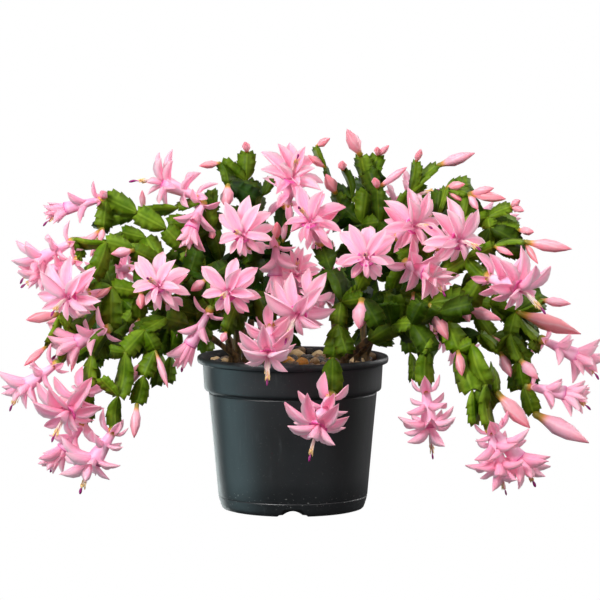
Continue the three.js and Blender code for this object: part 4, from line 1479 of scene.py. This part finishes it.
pot = turned("nursery_pot", POT_PROFILE, POT_TURNS)
cut_away(pot, cutters())
pot.data.polygons.foreach_set("use_smooth", [True] * len(pot.data.polygons))
pot.data.set_sharp_from_angle(angle=POT_CREASE)
print("pot:", len(pot.data.polygons), "faces")

# %% [markdown]
# ## The pot's plastic
#
# The plastic is nearly black, with cloudy gloss, fine scratches that run up its side, and a little
# pale dust, most of it low down where the watering leaves it.

# %% The pot's finish
DUST_LINE = (0.016, 0.026)
CLEAN_FOOT = (0.006, 0.012)


def pot_finish():
    s = Surface("pot_plastic")
    where = s.here()
    height = s.node("ShaderNodeSeparateXYZ", {}, [where], "Z")
    cloud, grain, speck = s.noise(14.0, 3.0), s.noise(900.0), s.noise(520.0, 1.0)
    scratch = s.noise(160.0, 2.0, s.stretched(where, (1.0, 1.0, 0.12)))
    low = (1 - height.to(*DUST_LINE)) * height.to(*CLEAN_FOOT)
    black = s.coats(
        s.mix(cloud.to(0.3, 0.7), (12, 14, 16), (22, 26, 29)),
        (speck.to(0.68, 0.76) * (low * 0.7 + 0.08), 150, 150, 146),
        (scratch.to(0.62, 0.8) * 0.12, 96, 100, 102))
    return s.finish(black, 0.36 + cloud * 0.14 + scratch * 0.1,
                    (grain * 0.4 + scratch * 0.3, 0.0003, 0.3), specular_ior_level=0.6)


pot.data.materials.clear()
pot.data.materials.append(pot_finish())
settle(pot, "pot", "pot")
print("pot's finish:", pot.data.materials[0].name)

# %% [markdown]
# ## Pebbles and soil
#
# Pebbles of river stone dress the soil. The ones that the front view shows over the rim are
# listed, with their place and colour. The rest are dropped at random places, and one is kept only
# if it leaves room for its neighbours. The dark soil shows in the gaps.

# %% Pebbles
# across, down, width, colour: 0 black, 0.2 grey, 0.4 brown, 0.6 tan, 0.8 ochre, 1 orange
NAMED_PEBBLES = [
    (225, 360, 8, 0.6), (236, 360, 14, 0.62), (250, 361, 15, 0.66), (262, 361, 10, 0.45),
    (289, 360, 11, 1.0), (302, 362, 12, 0.95), (298, 354, 14, 0.6), (305, 347, 12, 0.42),
    (308, 357, 9, 0.1), (316, 346, 9, 0.0), (319, 354, 10, 0.68), (276, 361, 10, 0.3),
    (315, 361, 9, 0.5), (357, 361, 14, 0.66), (375, 356, 14, 0.42), (345, 360, 9, 0.2),
    (366, 353, 9, 0.3), (290, 350, 9, 0.3), (284, 355, 9, 0.5),
]
DROPPED_TONES = [0.0, 0.05, 0.1, 0.2, 0.3, 0.35, 0.4, 0.5, 0.65, 0.9]
DROPPED_WIDTHS = (7, 13)
EDGE_ROOM = 0.4
STONE_COLOURS = [
    (0.0, 26, 24, 24), (0.2, 78, 74, 70), (0.4, 122, 90, 56), (0.6, 206, 170, 116),
    (0.75, 232, 206, 160), (0.9, 224, 156, 60), (1.0, 236, 160, 54),
]
PEBBLE_TOP = 149.5 * MM
PEBBLE_REACH = 86 * MM
NAMED_SUNK, NAMED_GROWN = 0.1, 1.1
# each layer: its depth under the top, the stones tried, and the room that a stone asks for
UPPER_LAYER = (3 * MM, 900, 0.45)
LOWER_LAYER = (7 * MM, 500, 0.4)
STONE_TURNS = (0, 6.28)
STONE_TILTS = (-0.3, 0.3)
STONE_LENGTHS = (1.0, 1.25)


def named(across, down, width, tone):
    """A listed stone, where the line of sight through its place meets the pebbles' top."""
    near, far = place(across, down, -120), place(across, down, 120)
    share = (PEBBLE_TOP - near.z) / (far.z - near.z)
    at = near.lerp(far, min(1.0, max(0.0, share)))
    away = math.hypot(at.x, at.y)
    if away > PEBBLE_REACH:
        at = at * (PEBBLE_REACH / away)
    return at.x, at.y, PEBBLE_TOP - width * NAMED_SUNK * MM, width * NAMED_GROWN * MM, tone


def dropped(laid, layer, draw):
    """Stones at random places, added to the ones that are laid."""
    depth, tries, room = layer
    for _ in range(tries):
        angle, reach = draw.uniform(0, FULL_TURN), PEBBLE_REACH * math.sqrt(draw.random())
        x, y = reach * math.cos(angle), reach * math.sin(angle)
        width = draw.uniform(*DROPPED_WIDTHS) * MM
        tone = draw.choice(DROPPED_TONES)
        if reach + width * EDGE_ROOM > PEBBLE_REACH:
            continue
        if all(math.hypot(x - s[0], y - s[1]) > room * (width + s[3]) for s in laid):
            laid.append((x, y, PEBBLE_TOP - depth + draw.uniform(-1, 1) * MM, width, tone))
    return laid


def stone_finish():
    s = Surface("river_stone")
    ramp = add_node(s.tree, "ShaderNodeValToRGB", {}, [s.tone()])
    elements = ramp.color_ramp.elements
    while len(elements) < len(STONE_COLOURS):
        elements.new(1.0)
    for element, (share, *colour) in zip(elements, STONE_COLOURS):
        element.position = share
        element.color = shade(*colour)
    vein, speck = s.noise(130.0, 4.0), s.noise(700.0)
    stone = s.coats(Wire(s, ramp.outputs[0]), (vein.to(0.4, 0.7) * 0.25, 92, 66, 40),
                    (speck.to(0.55, 0.75) * 0.35, 232, 214, 180))
    return s.finish(stone, 0.38 + vein * 0.25, (vein + speck * 0.3, 0.0006, 0.5))


draw = random.Random(7)
PEBBLE_SHAPES = family("pebble_shapes", PEBBLE_KINDS)
stones = dropped([named(*row) for row in NAMED_PEBBLES], UPPER_LAYER, draw)
stones += dropped([], LOWER_LAYER, draw)
places = Places(Matrix(), draw)
for x, y, z, width, tone in stones:
    turn = Matrix.Rotation(draw.uniform(*STONE_TURNS), 3, "Z")
    turn = turn @ Matrix.Rotation(draw.uniform(*STONE_TILTS), 3, "X")
    size = (width, width * draw.uniform(*STONE_LENGTHS), width)
    places.add(draw.randrange(STONE_KINDS), Vector((x, y, z)), *turn.col, size, 0, tone)
settle(places.build("pebbles", PEBBLE_SHAPES, [stone_finish()]), "gravel", "gravel")
print("pebbles:", len(places.rows))


# %% Soil
def soil_finish():
    s = Surface("soil_crumb")
    crumb = s.node("ShaderNodeTexVoronoi", {}, {"Scale": 320.0})
    patch = s.noise(90.0, 4.0)
    earth = s.mix(patch.to(0.35, 0.7), (30, 20, 12), (66, 46, 28))
    earth = s.coats(earth, (crumb.to(0.3, 0.5) * 0.4, 98, 76, 48))
    return s.finish(earth, 0.8 + patch * 0.15, (crumb + patch, 0.0015, 0.8))


SOIL_CRUMB = soil_finish()
for slot in bpy.data.objects["potting_mix"].material_slots:
    slot.material = SOIL_CRUMB
print("soil:", SOIL_CRUMB.name)
